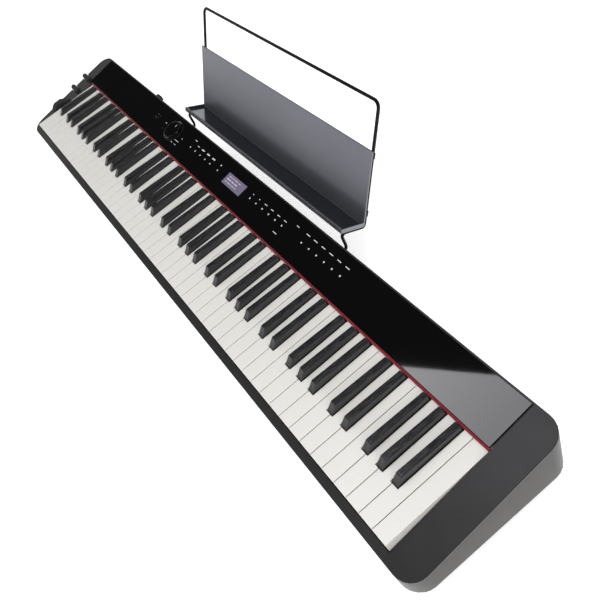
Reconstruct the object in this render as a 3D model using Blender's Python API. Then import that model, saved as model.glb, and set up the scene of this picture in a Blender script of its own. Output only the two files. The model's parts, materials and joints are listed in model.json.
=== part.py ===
"""Eighty-eight key slab piano with a plug-in music rest, as an assembly of separate solids.

The piano is drawn in keyboard coordinates, in millimetres: X = 0 is the middle of the keyboard and
+X runs to the treble, Y = 0 is the front edge of the white keys and +Y runs to the rear, Z = 0 is
the top of the white keys. Everything hangs on one empty, which then moves the finished piano so that
the middle of its footprint is the origin and its feet stand on Z = 0.
"""
import math

import bmesh
import bpy
from mathutils import Vector

MM = 0.001

# --- Keyboard -----------------------------------------------------------------------------------
KEY_COUNT = 88
WHITE_COUNT = 52
FIRST_PITCH_CLASS = 9          # the lowest key is an A
WHITE_PITCH = 23.5
KEYBOARD_HALF = WHITE_COUNT * WHITE_PITCH / 2
KEY_GAP = 1.0
BLACK_GAP = 1.0
BLACK_WIDTH = 11.2
BLACK_TAPER = 0.9
BLACK_FRONT_Y = 50.0
BLACK_SLOPE_RUN = 9.6
BLACK_END_Y = 145.5
BLACK_FRONT_HEIGHT = 11.3
BLACK_END_HEIGHT = 7.4
BLACK_DEPTH = 14.0
WHITE_END_Y = 149.0
WHITE_FRONT_DEPTH = 20.0
WHITE_END_DEPTH = 16.0
BLACK_OFFSETS = {1: -2.2, 3: 2.2, 6: -3.3, 8: 0.0, 10: 3.3}
PITCH_NAMES = ("c", "cs", "d", "ds", "e", "f", "fs", "g", "gs", "a", "as", "b")
FREE_OCTAVE = 4                # every key of this octave is a piece of its own
COMB_OCTAVES = ((0, 1), (2, 3), (5, 6), (7, 8))

# --- Key action -----------------------------------------------------------------------------------
FULCRUM_Y = 190.0
FULCRUM_Z = -14.0
FULCRUM_ROD_RADIUS = 2.0
ROD_CLEARANCE = 0.5
TAIL_END_Y = 194.0
TAIL_BOTTOM_Z = -15.0
WHITE_TAIL_TOP_Z = -4.0
BLACK_TAIL_TOP_Z = -7.5
COMB_FRONT_Y = 170.0
COMB_REAR_Y = 181.0
WHITE_COMB_Z = (-5.5, -1.0)
BLACK_COMB_Z = (-21.0, -17.3)
POST_Y = (56.0, 63.0)
POST_BOTTOM_Z = -30.0
HAMMER_PIVOT_Y = 100.0
HAMMER_PIVOT_Z = -42.0
HAMMER_ROD_RADIUS = 2.0
HAMMER_WIDTH = 8.0
HAMMER_END_Y = 165.0
HAMMER_WEIGHT_Z = (-54.0, -43.0)
HAMMER_GAP = 0.5
HAMMER_TIP_FALL = 1.2          # the tip falls away to the rear, clear of the post as both turn

# --- Key chassis ----------------------------------------------------------------------------------
CHASSIS_HALF_LENGTH = KEYBOARD_HALF - 3.0
CHASSIS_FRONT_Y = 6.0
CHASSIS_REAR_Y = 198.0
CHASSIS_WALL = 2.5
CHASSIS_FLOOR_Z = (-61.0, -57.5)
CHASSIS_RAIL_DEPTH = 14.0
CHASSIS_RAIL_Z = -33.0
SHELF_FRONT_Y = 150.0
SHELF_Z = (-25.2, -24.0)
RIDGE_HALF_WIDTH = 1.5
RIB_THICKNESS = 3.0
RIB_COUNT = 9
RIB_CLEARANCE = 6.0            # a rib keeps this far from the hammers on both sides
SENSOR_BOARD_Y = (84.0, 112.0)
SENSOR_BOARD_Z = (-27.0, -25.4)
STOP_FELT_Y = (150.5, 180.0)
STOP_FELT_Z = (-27.5, -25.5)

# --- Casing ---------------------------------------------------------------------------------------
END_BLOCK_WIDTH = 46.0
CASE_HALF_LENGTH = KEYBOARD_HALF + END_BLOCK_WIDTH
CASE_FRONT_Y = -13.0
CASE_REAR_Y = 218.0
CORNER_RADIUS = 27.0
CORNER_STEPS = 6
CASE_WALL = 3.0
CASE_BOTTOM_Z = -80.0
FOOT_HEIGHT = 8.0
UNDERSIDE_TAPER = 23.0
UNDERSIDE_EDGE_Z = -55.2       # lower edge of the upright wall, at the key fronts
UNDERSIDE_EDGE_SLOPE = -0.045
DECK_Z = -17.65                # deck height at the key fronts
DECK_SLOPE = 0.1442
DECK_THICKNESS = 4.5
DECK_BEVEL = 1.2
PARTING_GAP = 0.4
SEAT_GAP = 0.3
KEY_BED_GAP = 1.3              # between the keys and the opening around them
PANEL_FRONT_Y = 150.5
PANEL_REAR_Y = CASE_REAR_Y - 3.0
PANEL_LEFT_X = -KEYBOARD_HALF - 10.5
PANEL_RIGHT_X = KEYBOARD_HALF - 2.5
PANEL_THICKNESS = 2.6
PANEL_SIDE_GAP = 3.0
PANEL_LEDGE = 7.0
FELT_Y = (147.0, 150.2)
FELT_Z = (0.4, 3.4)

# --- Controls -------------------------------------------------------------------------------------
DIAL_X, DIAL_Y = -243.5, 186.5
DIAL_RADIUS = 20.5
DIAL_HEIGHT = 5.0
DIAL_STEM_RADIUS = 3.5
POWER_X, POWER_Y = -320.0, 188.5
POWER_RADIUS = 4.2
POWER_HEIGHT = 1.4
DISPLAY_X = (-35.0, 23.5)
DISPLAY_Y = (174.3, 195.5)
DISPLAY_BORDER = 6.0
TOUCH_BOARD_X = (-215.0, 315.0)
BOARD_Y = (160.0, 205.0)
MAIN_BOARD_X = (-590.0, -345.0)
BOARD_THICKNESS = 1.6
CASE_LEFT_X = -CASE_HALF_LENGTH
WHEEL_RADIUS = 24.0
WHEEL_X = (CASE_LEFT_X + 25.0, CASE_LEFT_X + 42.0)
WHEEL_Y, WHEEL_Z = 63.5, -13.5
WHEEL_AXLE_RADIUS = 2.0
WHEEL_AXLE_END_X = CASE_LEFT_X + 11.0
KNOB_RADIUS = 5.6
KNOB_X = (CASE_LEFT_X - 7.5, CASE_LEFT_X + 30.0)
KNOB_PLACES_Y = {"control_knob_rear": 150.2, "control_knob_front": 114.8}
KNOB_DROP = 1.0                # knob axis below the deck surface
CONTROL_GAP = 1.0
CONTROL_BLOCK_X = (CASE_LEFT_X + 3.6, CASE_LEFT_X + 43.4)
CONTROL_BLOCK_Y = (34.0, 166.0)
CONTROL_BLOCK_DEPTH = 14.0

# --- Sockets, speakers, battery hatch, feet -----------------------------------------------------
JACK_Z = -4.0
JACK_BOARD_X = (-444.0, -282.0)
JACK_BOARD_Y = CASE_REAR_Y - 19.0
JACK_BOARD_Z = (-18.0, 5.0)
JACK_FACE_Y = CASE_REAR_Y - 1.2
ROUND_JACKS = {-370.0: (4.0, 1.75), -346.0: (6.2, 3.2), -322.0: (6.2, 3.2), -296.0: (5.5, 3.0)}
SQUARE_JACKS = {-430.0: (6.0, 5.5), -397.0: (7.0, 3.4)}
USB_PORT_X = -397.0
JACK_HOLE_GAP = 0.5
SPEAKER_X = CASE_HALF_LENGTH - 26.2
SPEAKER_Y = 115.0
SPEAKER_SIZE = (33.0, 150.0)
SPEAKER_Z = (CASE_BOTTOM_Z + 10.0, CASE_BOTTOM_Z + 36.0)
GRILLE_SLOTS = 9
GRILLE_SLOT = (20.0, 4.0)
GRILLE_PITCH = 14.0
HATCH_X = (-105.0, 105.0)
HATCH_Y = (62.0, 138.0)
HATCH_GAP = 0.5
FOOT_RADIUS = 20.0
FOOT_X = CASE_HALF_LENGTH - 97.0
FOOT_PLACES = {"foot_front_left": (-FOOT_X, CASE_FRONT_Y + 45.0), "foot_front_right": (FOOT_X, CASE_FRONT_Y + 45.0),
               "foot_rear_left": (-FOOT_X, CASE_REAR_Y - 42.0), "foot_rear_right": (FOOT_X, CASE_REAR_Y - 42.0)}
STANDOFF_PLACES = [(x, y) for x in (-520.0, -260.0, 260.0, 520.0) for y in (40.0, 170.0)]
STANDOFF_HALF_WIDTH = 5.0
ADAPTER_HALF_WIDTH = 9.0
ADAPTER_HALF_HEIGHT = 4.4
ADAPTER_LENGTH = 9.0
ADAPTER_PLUG = (5.6, 2.0, 9.0)

# --- Music rest -----------------------------------------------------------------------------------
REST_TILT = 27.6               # degrees back from upright
REST_CORNER_Y, REST_CORNER_Z = CASE_REAR_Y + 44.5, 8.5
REST_HALF_LENGTH = 250.5
REST_PANEL_HEIGHT = 113.0
REST_TRAY_DEPTH = 39.0
REST_SHEET = 2.5
REST_LIP = 4.5
REST_WIRE_RADIUS = 2.5
REST_WIRE_HALF_SPAN = REST_HALF_LENGTH - 4.5
REST_WIRE_RISE = 65.5          # of the wire's top above the sheet
REST_WIRE_GAP = 0.4
REST_LEG_Y = CASE_REAR_Y + 10.0
REST_SOCKET_Z = -14.0
REST_LEG_END_Y = CASE_REAR_Y - 14.0
REST_BEND_RADIUS = 10.0
REST_FOLD_RADIUS = 5.0
SOCKET_BLOCK_HALF = 8.0

SUPPORT_COLLECTION = "cutters"


# --- Meshes ---------------------------------------------------------------------------------------
def loft(rings, closed=False):
    """Mesh skinned over rings of equal count; a closed loft joins its last ring to its first."""
    mesh = bmesh.new()
    rows = [[mesh.verts.new(Vector(point) * MM) for point in ring] for ring in rings]
    count = len(rings[0])
    pairs = list(zip(rows, rows[1:] + rows[:1])) if closed else list(zip(rows, rows[1:]))
    for low, high in pairs:
        for i in range(count):
            j = (i + 1) % count
            mesh.faces.new((low[i], low[j], high[j], high[i]))
    if not closed:
        mesh.faces.new(rows[0][::-1])
        mesh.faces.new(rows[-1])
    bmesh.ops.recalc_face_normals(mesh, faces=mesh.faces)
    return mesh


def join(meshes):
    """One mesh that holds several separate shells."""
    whole = bmesh.new()
    for part in meshes:
        piece = bpy.data.meshes.new("shell")
        part.to_mesh(piece)
        part.free()
        whole.from_mesh(piece)
        bpy.data.meshes.remove(piece)
    return whole


def box(x, y, z):
    """Upright box over three (low, high) pairs."""
    outline = [(x[0], y[0]), (x[1], y[0]), (x[1], y[1]), (x[0], y[1])]
    return loft([[(px, py, level) for px, py in outline] for level in z])


def profile_along_x(outline, low, high):
    """Solid with a (y, z) outline, between two places on X."""
    return loft([[(x, y, z) for y, z in outline] for x in (low, high)])


def disc_ring(radius, steps=24):
    """Points of a circle about the origin."""
    return [(radius * math.cos(2 * math.pi * i / steps), radius * math.sin(2 * math.pi * i / steps))
            for i in range(steps)]


def turned(profile, axis="Z", steps=24):
    """Solid turned about an axis from (radius, height) pairs that run from one end to the other."""
    place = {"X": lambda a, b, h: (h, a, b), "Y": lambda a, b, h: (b, h, a), "Z": lambda a, b, h: (a, b, h)}[axis]
    return loft([[place(a, b, height) for a, b in disc_ring(radius, steps)] for radius, height in profile])


def shifted(mesh, offset):
    """The same mesh moved by a millimetre offset."""
    bmesh.ops.translate(mesh, verts=mesh.verts, vec=Vector(offset) * MM)
    return mesh


def deck_height(y):
    """Height of the sloping top surface."""
    return DECK_Z + DECK_SLOPE * y


def rounded_outline(x_low, x_high, y_low, y_high, radius):
    """Plan outline with round corners."""
    points = []
    centres = ((x_high - radius, y_high - radius), (x_low + radius, y_high - radius),
               (x_low + radius, y_low + radius), (x_high - radius, y_low + radius))
    for quarter, (cx, cy) in enumerate(centres):
        for step in range(CORNER_STEPS + 1):
            angle = math.pi / 2 * (quarter + step / CORNER_STEPS)
            points.append((cx + radius * math.cos(angle), cy + radius * math.sin(angle)))
    return points


def case_ring(inset, height):
    """One loop round the casing, set in from its outer wall, with its height a function of y."""
    radius = max(CORNER_RADIUS - inset, 1.0)
    outline = rounded_outline(-CASE_HALF_LENGTH + inset, CASE_HALF_LENGTH - inset,
                              CASE_FRONT_Y + inset, CASE_REAR_Y - inset, radius)
    return [(x, y, height(y)) for x, y in outline]


def deck_slab(x, y, top, bottom):
    """Flat piece that lies parallel to the deck, between two heights above its surface."""
    outline = [(x[0], y[0]), (x[1], y[0]), (x[1], y[1]), (x[0], y[1])]
    return loft([[(px, py, deck_height(py) + level) for px, py in outline] for level in (bottom, top)])


# --- Objects --------------------------------------------------------------------------------------
def plastic(name, colour, roughness, metallic=0.0):
    """Plain principled material."""
    material = bpy.data.materials.new(name)
    material.use_nodes = True
    shader = material.node_tree.nodes["Principled BSDF"]
    shader.inputs["Base Color"].default_value = (*colour, 1.0)
    shader.inputs["Roughness"].default_value = roughness
    shader.inputs["Metallic"].default_value = metallic
    material.diffuse_color = (*colour, 1.0)
    return material


FINISHES = {
    "case": ((0.060, 0.058, 0.062), 0.45, 0.0),
    "gloss": ((0.006, 0.006, 0.007), 0.06, 0.0),
    "white_key": ((0.78, 0.77, 0.74), 0.35, 0.0),
    "black_key": ((0.030, 0.030, 0.032), 0.55, 0.0),
    "felt": ((0.28, 0.01, 0.02), 0.95, 0.0),
    "grey_felt": ((0.16, 0.16, 0.17), 0.95, 0.0),
    "steel": ((0.55, 0.55, 0.56), 0.3, 1.0),
    "chassis": ((0.30, 0.31, 0.32), 0.5, 0.6),
    "board": ((0.02, 0.12, 0.05), 0.5, 0.0),
    "rubber": ((0.02, 0.02, 0.02), 0.8, 0.0),
    "speaker": ((0.05, 0.05, 0.05), 0.7, 0.0),
    "lcd": ((0.36, 0.33, 0.42), 0.2, 0.0),
    "rest": ((0.10, 0.10, 0.11), 0.4, 0.0),
    "wire": ((0.010, 0.010, 0.010), 0.3, 0.0),
}


def add_piece(name, mesh, finish, piano, origin=(0.0, 0.0, 0.0), tilt=0.0, smooth=False):
    """Named solid on the piano; its mesh is given relative to its origin."""
    data = bpy.data.meshes.new(name)
    mesh.to_mesh(data)
    mesh.free()
    colour, roughness, metallic = FINISHES[finish]
    data.materials.append(plastic(name, colour, roughness, metallic))
    if smooth:
        data.shade_smooth()
        data.set_sharp_from_angle(angle=math.radians(35))
    piece = bpy.data.objects.new(name, data)
    bpy.context.scene.collection.objects.link(piece)
    piece.parent = piano
    piece.location = Vector(origin) * MM
    piece.rotation_euler.x = math.radians(tilt)
    return piece


def combine(piece, mesh, operation):
    """Boolean of a hidden helper solid on a piece; the helper shares the piece's coordinates."""
    data = bpy.data.meshes.new(piece.name + "_tool")
    mesh.to_mesh(data)
    mesh.free()
    tool = bpy.data.objects.new(piece.name + "_tool", data)
    bpy.data.collections[SUPPORT_COLLECTION].objects.link(tool)
    tool.parent = piece
    tool.hide_render = True
    tool.display_type = "WIRE"
    modifier = piece.modifiers.new(operation.lower(), "BOOLEAN")
    modifier.operation = operation
    modifier.object = tool
    return modifier


def cut(piece, mesh):
    """Take a solid away from a piece."""
    return combine(piece, mesh, "DIFFERENCE")


def weld(piece, mesh):
    """Add a solid to a piece."""
    return combine(piece, mesh, "UNION")


# --- Keys -----------------------------------------------------------------------------------------
def pitch_class(key):
    """Place of a key in its octave, 0 for C."""
    return (key + FIRST_PITCH_CLASS) % 12


def key_octave(key):
    """Octave number of a key, counted from C."""
    return (key + FIRST_PITCH_CLASS) // 12


def is_black(key):
    """True for a sharp."""
    return pitch_class(key) in BLACK_OFFSETS


WHITE_KEYS = [key for key in range(KEY_COUNT) if not is_black(key)]


def white_left(key):
    """Left edge of a white key's share of the keyboard."""
    return WHITE_KEYS.index(key) * WHITE_PITCH - KEYBOARD_HALF


def key_slot(key):
    """Low and high X of a key behind the fronts of the black keys."""
    if is_black(key):
        middle = white_left(key + 1) + BLACK_OFFSETS[pitch_class(key)]
        return middle - BLACK_WIDTH / 2, middle + BLACK_WIDTH / 2
    low = white_left(key) + KEY_GAP / 2
    high = white_left(key) + WHITE_PITCH - KEY_GAP / 2
    if key > 0 and is_black(key - 1):
        low = key_slot(key - 1)[1] + BLACK_GAP
    if key < KEY_COUNT - 1 and is_black(key + 1):
        high = key_slot(key + 1)[0] - BLACK_GAP
    return low, high


def white_body(key):
    """Playing part of a white key, notched for its black neighbours."""
    low, high = key_slot(key)
    left = white_left(key) + KEY_GAP / 2
    right = white_left(key) + WHITE_PITCH - KEY_GAP / 2
    notch = BLACK_FRONT_Y - BLACK_GAP
    outline = [(left, 0.0), (right, 0.0)]
    outline += [(right, notch), (high, notch)] if high < right else []
    outline += [(high, WHITE_END_Y), (low, WHITE_END_Y)]
    outline += [(low, notch), (left, notch)] if low > left else []
    rise = (WHITE_FRONT_DEPTH - WHITE_END_DEPTH) / WHITE_END_Y
    under = [(x, y, -WHITE_FRONT_DEPTH + rise * y) for x, y in outline]
    return loft([under, [(x, y, 0.0) for x, y in outline]])


def black_body(key):
    """Playing part of a black key: upright skirt, sloping front and narrowed top."""
    low, high = key_slot(key)
    def ring(inset, front, end, front_z, end_z):
        return [(low + inset, front, front_z), (high - inset, front, front_z),
                (high - inset, end, end_z), (low + inset, end, end_z)]
    front_top = BLACK_FRONT_Y + BLACK_SLOPE_RUN
    return loft([ring(0.0, BLACK_FRONT_Y, BLACK_END_Y, -BLACK_DEPTH, -BLACK_DEPTH),
                 ring(0.0, BLACK_FRONT_Y, BLACK_END_Y, 0.0, 0.0),
                 ring(BLACK_TAPER, front_top, BLACK_END_Y, BLACK_FRONT_HEIGHT, BLACK_END_HEIGHT)])


def tail(key):
    """Inner lever of a key: hammer post, web, and the notch that rides on the fulcrum rod."""
    radius = FULCRUM_ROD_RADIUS + ROD_CLEARANCE
    arch = [(FULCRUM_Y - radius * math.cos(math.pi * i / 4), FULCRUM_Z + radius * math.sin(math.pi * i / 4))
            for i in range(5)]
    front, back = POST_Y
    outline = [(front, -8.5), (front, POST_BOTTOM_Z), (back, POST_BOTTOM_Z), (back, TAIL_BOTTOM_Z + 2.0),
               (COMB_FRONT_Y - 4.0, TAIL_BOTTOM_Z + 2.0), (COMB_FRONT_Y - 4.0, TAIL_BOTTOM_Z)]
    top = WHITE_TAIL_TOP_Z
    if is_black(key):
        top = BLACK_TAIL_TOP_Z
        foot = BLACK_COMB_Z[0]
        outline += [(COMB_FRONT_Y, TAIL_BOTTOM_Z), (COMB_FRONT_Y, foot), (COMB_REAR_Y, foot),
                    (COMB_REAR_Y, TAIL_BOTTOM_Z)]
    outline += [(FULCRUM_Y - radius, TAIL_BOTTOM_Z)] + arch + [(FULCRUM_Y + radius, TAIL_BOTTOM_Z)]
    outline += [(TAIL_END_Y, TAIL_BOTTOM_Z), (TAIL_END_Y, top), (WHITE_END_Y - 12.0, top), (WHITE_END_Y - 12.0, -8.5)]
    low, high = key_slot(key)
    return profile_along_x(outline, low + 0.4, high - 0.4)


def add_key_piece(name, keys, piano):
    """One piece of the keyboard: a single key, or a comb of keys of one colour on a cross bar."""
    black = is_black(keys[0])
    body = black_body if black else white_body
    pivot = (0.0, FULCRUM_Y, FULCRUM_Z)
    back = [-value for value in pivot]
    bodies = shifted(join([body(key) for key in keys]), back)
    piece = add_piece(name, bodies, "black_key" if black else "white_key", piano, pivot)
    weld(piece, shifted(join([tail(key) for key in keys]), back))
    if len(keys) > 1:
        bar_z = BLACK_COMB_Z if black else WHITE_COMB_Z
        bar_y = (COMB_FRONT_Y + 1.0, COMB_REAR_Y - 1.0)
        ends = (key_slot(keys[0])[0] + 1.0, key_slot(keys[-1])[1] - 1.0)
        weld(piece, shifted(box(ends, bar_y, bar_z), back))
    return piece


def add_hammer(key, piano):
    """Weighted lever under one key, turning on the hammer rod."""
    low, high = key_slot(key)
    middle = (low + high) / 2
    pivot = (middle, HAMMER_PIVOT_Y, HAMMER_PIVOT_Z)
    tip_top = POST_BOTTOM_Z - HAMMER_GAP
    bottom, top = HAMMER_WEIGHT_Z
    outline = [(POST_Y[0], tip_top), (POST_Y[1] + 1.0, tip_top - HAMMER_TIP_FALL), (96.0, -37.0),
               (104.0, -37.0), (128.0, top), (HAMMER_END_Y, top), (HAMMER_END_Y, bottom), (124.0, bottom), (106.0, -47.0), (96.0, -47.0),
               (POST_Y[0], tip_top - 5.0)]
    outline = [(y - HAMMER_PIVOT_Y, z - HAMMER_PIVOT_Z) for y, z in outline]
    mesh = profile_along_x(outline, -HAMMER_WIDTH / 2, HAMMER_WIDTH / 2)
    piece = add_piece("hammer_" + key_name(key), mesh, "chassis", piano, pivot)
    radius = HAMMER_ROD_RADIUS + ROD_CLEARANCE
    cut(piece, turned([(radius, -HAMMER_WIDTH), (radius, HAMMER_WIDTH)], axis="X", steps=12))
    return piece


def key_name(key):
    """Name of a note, such as fs4."""
    return PITCH_NAMES[pitch_class(key)] + str(key_octave(key))


def add_keyboard(piano):
    """All 88 keys: one free octave with its hammers, and combs on both sides of it."""
    for key in range(KEY_COUNT):
        if key_octave(key) == FREE_OCTAVE:
            add_key_piece("key_" + key_name(key), [key], piano)
            add_hammer(key, piano)
    for first, last in COMB_OCTAVES:
        section = [key for key in range(KEY_COUNT) if first <= key_octave(key) <= last]
        span = key_name(section[0]) + "_" + key_name(section[-1])
        for black in (False, True):
            keys = [key for key in section if is_black(key) == black]
            add_key_piece(("black_keys_" if black else "white_keys_") + span, keys, piano)


# --- Chassis --------------------------------------------------------------------------------------
def rib_places():
    """Even rib places along the chassis, each moved aside from the free octave's hammers."""
    free = [key for key in range(KEY_COUNT) if key_octave(key) == FREE_OCTAVE]
    low = key_slot(free[0])[0] - RIB_CLEARANCE
    high = key_slot(free[-1])[1] + RIB_CLEARANCE
    end = CHASSIS_HALF_LENGTH - RIB_THICKNESS
    places = [end * (2 * i / (RIB_COUNT - 1) - 1) for i in range(RIB_COUNT)]
    return sorted([x for x in places if not low < x < high] + [low, high])


def add_chassis(piano):
    """Bed under the keys with its rods, stop felt and contact board."""
    floor, bed = CHASSIS_FLOOR_Z
    rail_back = CHASSIS_FRONT_Y + CHASSIS_RAIL_DEPTH
    wall = CHASSIS_REAR_Y - CHASSIS_WALL
    under, over = SHELF_Z
    ridge_top = FULCRUM_Z - FULCRUM_ROD_RADIUS - SEAT_GAP
    ridge = (FULCRUM_Y - RIDGE_HALF_WIDTH, FULCRUM_Y + RIDGE_HALF_WIDTH)
    outline = [(CHASSIS_FRONT_Y, floor), (CHASSIS_REAR_Y, floor), (CHASSIS_REAR_Y, over), (ridge[1], over),
               (ridge[1], ridge_top), (ridge[0], ridge_top), (ridge[0], over), (SHELF_FRONT_Y, over),
               (SHELF_FRONT_Y, under), (wall, under), (wall, bed), (rail_back, bed),
               (rail_back, CHASSIS_RAIL_Z), (CHASSIS_FRONT_Y, CHASSIS_RAIL_Z)]
    half = CHASSIS_HALF_LENGTH
    chassis = add_piece("key_chassis", profile_along_x(outline, -half, half), "chassis", piano)
    board_seat = SENSOR_BOARD_Z[0] - SEAT_GAP
    slot = HAMMER_ROD_RADIUS + ROD_CLEARANCE
    slot_bottom = HAMMER_PIVOT_Z - slot
    board_front, board_back = SENSOR_BOARD_Y
    foot = bed - 1.0
    rib_back = STOP_FELT_Y[1] + 5.0
    rib = [(board_front, foot), (rib_back, foot), (rib_back, STOP_FELT_Z[0] - SEAT_GAP),
           (board_back, STOP_FELT_Z[0] - SEAT_GAP), (board_back, board_seat), (HAMMER_PIVOT_Y + slot, board_seat),
           (HAMMER_PIVOT_Y + slot, slot_bottom), (HAMMER_PIVOT_Y - slot, slot_bottom),
           (HAMMER_PIVOT_Y - slot, board_seat), (board_front, board_seat)]
    ribs = [profile_along_x(rib, x - RIB_THICKNESS / 2, x + RIB_THICKNESS / 2) for x in rib_places()]
    weld(chassis, join(ribs))
    rod = turned([(FULCRUM_ROD_RADIUS, -half), (FULCRUM_ROD_RADIUS, half)], axis="X", steps=12)
    add_piece("key_fulcrum_rod", shifted(rod, (0.0, FULCRUM_Y, FULCRUM_Z)), "steel", piano, smooth=True)
    rod = turned([(HAMMER_ROD_RADIUS, -half), (HAMMER_ROD_RADIUS, half)], axis="X", steps=12)
    add_piece("hammer_pivot_rod", shifted(rod, (0.0, HAMMER_PIVOT_Y, HAMMER_PIVOT_Z)), "steel", piano, smooth=True)
    add_piece("hammer_stop_felt", box((-half, half), STOP_FELT_Y, STOP_FELT_Z), "grey_felt", piano)
    add_piece("key_sensor_board", box((-half, half), SENSOR_BOARD_Y, SENSOR_BOARD_Z), "board", piano)


# --- Casing ---------------------------------------------------------------------------------------
def underside_rings(inset, rise):
    """Loops of the rounded underside, from the flat bottom out to the foot of the upright wall."""
    rings = []
    for step in range(4):
        turn = math.radians(90.0 * (1.0 - step / 3))
        drop = math.sin(turn)
        edge = inset + UNDERSIDE_TAPER * (1.0 - math.cos(turn))

        def height(y, drop=drop):
            top = UNDERSIDE_EDGE_Z + UNDERSIDE_EDGE_SLOPE * y
            return top + (CASE_BOTTOM_Z + rise - top) * drop
        rings.append(case_ring(edge, height))
    return rings


def knob_axis_z(y):
    """Height of a side knob's axis."""
    return deck_height(y) - KNOB_DROP


def control_cutters():
    """Hollows for the side knobs and the pitch wheel, open upwards."""
    reach = CASE_HALF_LENGTH + 12.0
    inner = KNOB_X[1] + CONTROL_GAP
    trough = KNOB_RADIUS + CONTROL_GAP
    sky = deck_height(CASE_REAR_Y) + 20.0
    shells = []
    for y in KNOB_PLACES_Y.values():
        axis = knob_axis_z(y)
        arc = [(y + trough * math.cos(math.pi + math.pi * i / 8), axis + trough * math.sin(math.pi + math.pi * i / 8))
               for i in range(9)]
        shells.append(profile_along_x(arc + [(y + trough, sky), (y - trough, sky)], -reach, inner))
    wheel = WHEEL_RADIUS + CONTROL_GAP
    arc = [(WHEEL_Y + wheel * math.cos(math.pi + math.pi * i / 12),
            WHEEL_Z + wheel * math.sin(math.pi + math.pi * i / 12)) for i in range(13)]
    shells.append(profile_along_x(arc + [(WHEEL_Y + wheel, sky), (WHEEL_Y - wheel, sky)],
                                  WHEEL_X[0] - CONTROL_GAP, WHEEL_X[1] + CONTROL_GAP))
    return join(shells)


def add_lower_case(piano):
    """Tub of the casing with its sockets, sound slots, battery hatch and standoffs."""
    def rim(y):
        return deck_height(y) - DECK_THICKNESS - PARTING_GAP
    outside = underside_rings(0.0, 0.0) + [case_ring(0.0, rim)]
    inside = underside_rings(CASE_WALL, CASE_WALL) + [case_ring(CASE_WALL, rim)]
    case = add_piece("lower_case", loft(outside + inside[::-1]), "case", piano, smooth=True)
    floor = CASE_BOTTOM_Z + CASE_WALL
    wide = STANDOFF_HALF_WIDTH
    additions = [box((x - wide, x + wide), (y - wide, y + wide), (floor - 1.0, CHASSIS_FLOOR_Z[0] - SEAT_GAP))
                 for x, y in STANDOFF_PLACES]
    block = SOCKET_BLOCK_HALF
    for side in (-1, 1):
        x = side * REST_WIRE_HALF_SPAN
        additions.append(box((x - block, x + block), (REST_LEG_END_Y - 2.0, CASE_REAR_Y - 1.0),
                             (REST_SOCKET_Z - block, REST_SOCKET_Z + block)))
    weld(case, join(additions))
    cut(case, join(rear_wall_cutters()))
    slots = []
    for side in (-1, 1):
        for i in range(GRILLE_SLOTS):
            y = SPEAKER_Y + (i - (GRILLE_SLOTS - 1) / 2) * GRILLE_PITCH
            x = side * (SPEAKER_X - 3.0)
            slots.append(box((x - GRILLE_SLOT[0] / 2, x + GRILLE_SLOT[0] / 2),
                             (y - GRILLE_SLOT[1] / 2, y + GRILLE_SLOT[1] / 2), (CASE_BOTTOM_Z - 2.0, floor + 3.0)))
    slots.append(box(HATCH_X, HATCH_Y, (CASE_BOTTOM_Z - 2.0, floor + 2.0)))
    cut(case, join(slots))
    cut(case, control_cutters())


def rear_wall_cutters():
    """Openings through the rear wall for the jacks and for the legs of the music rest."""
    wall = (CASE_REAR_Y - CASE_WALL - 2.0, CASE_REAR_Y + 2.0)
    shells = []
    for x, (radius, _) in ROUND_JACKS.items():
        hole = radius + JACK_HOLE_GAP
        shells.append(shifted(turned([(hole, wall[0]), (hole, wall[1])], axis="Y", steps=20), (x, 0.0, JACK_Z)))
    for x, (half_x, half_z) in SQUARE_JACKS.items():
        half_x, half_z = half_x + JACK_HOLE_GAP, half_z + JACK_HOLE_GAP
        shells.append(box((x - half_x, x + half_x), wall, (JACK_Z - half_z, JACK_Z + half_z)))
    bore = REST_WIRE_RADIUS + 0.6
    for side in (-1, 1):
        socket = turned([(bore, REST_LEG_END_Y - 4.0), (bore, CASE_REAR_Y + 2.0)], axis="Y", steps=16)
        shells.append(shifted(socket, (side * REST_WIRE_HALF_SPAN, 0.0, REST_SOCKET_Z)))
    return shells


def add_upper_case(piano):
    """Deck of the casing: end blocks, front strip and the seat of the gloss panel."""
    bevel = DECK_BEVEL
    half_turn = bevel * (1.0 - math.sqrt(0.5))
    rings = [case_ring(0.0, lambda y: deck_height(y) - DECK_THICKNESS),
             case_ring(0.0, lambda y: deck_height(y) - bevel),
             case_ring(half_turn, lambda y: deck_height(y) - half_turn),
             case_ring(bevel, deck_height)]
    deck = add_piece("upper_case", loft(rings), "case", piano, smooth=True)
    weld(deck, deck_slab(CONTROL_BLOCK_X, CONTROL_BLOCK_Y, -DECK_THICKNESS + 1.0, -CONTROL_BLOCK_DEPTH))
    recess_x = (PANEL_LEFT_X - SEAT_GAP, PANEL_RIGHT_X + PANEL_SIDE_GAP)
    recess_y = (PANEL_FRONT_Y - 3.0, PANEL_REAR_Y + SEAT_GAP)
    cut(deck, deck_slab(recess_x, recess_y, 5.0, -PANEL_THICKNESS - SEAT_GAP))
    opening = KEYBOARD_HALF + KEY_BED_GAP - 0.5
    cut(deck, deck_slab((-opening, opening), (-KEY_BED_GAP, PANEL_FRONT_Y + 6.0), 9.0, -9.0))
    window = (PANEL_LEFT_X + 2 * PANEL_LEDGE, PANEL_RIGHT_X - 2 * PANEL_LEDGE)
    cut(deck, deck_slab(window, (PANEL_FRONT_Y, PANEL_REAR_Y - PANEL_LEDGE), 9.5, -9.5))
    cut(deck, control_cutters())
    axle = WHEEL_AXLE_RADIUS + ROD_CLEARANCE
    bore = turned([(axle, WHEEL_AXLE_END_X - 1.0), (axle, WHEEL_X[0])], axis="X", steps=12)
    cut(deck, shifted(bore, (0.0, WHEEL_Y, WHEEL_Z)))


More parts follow.
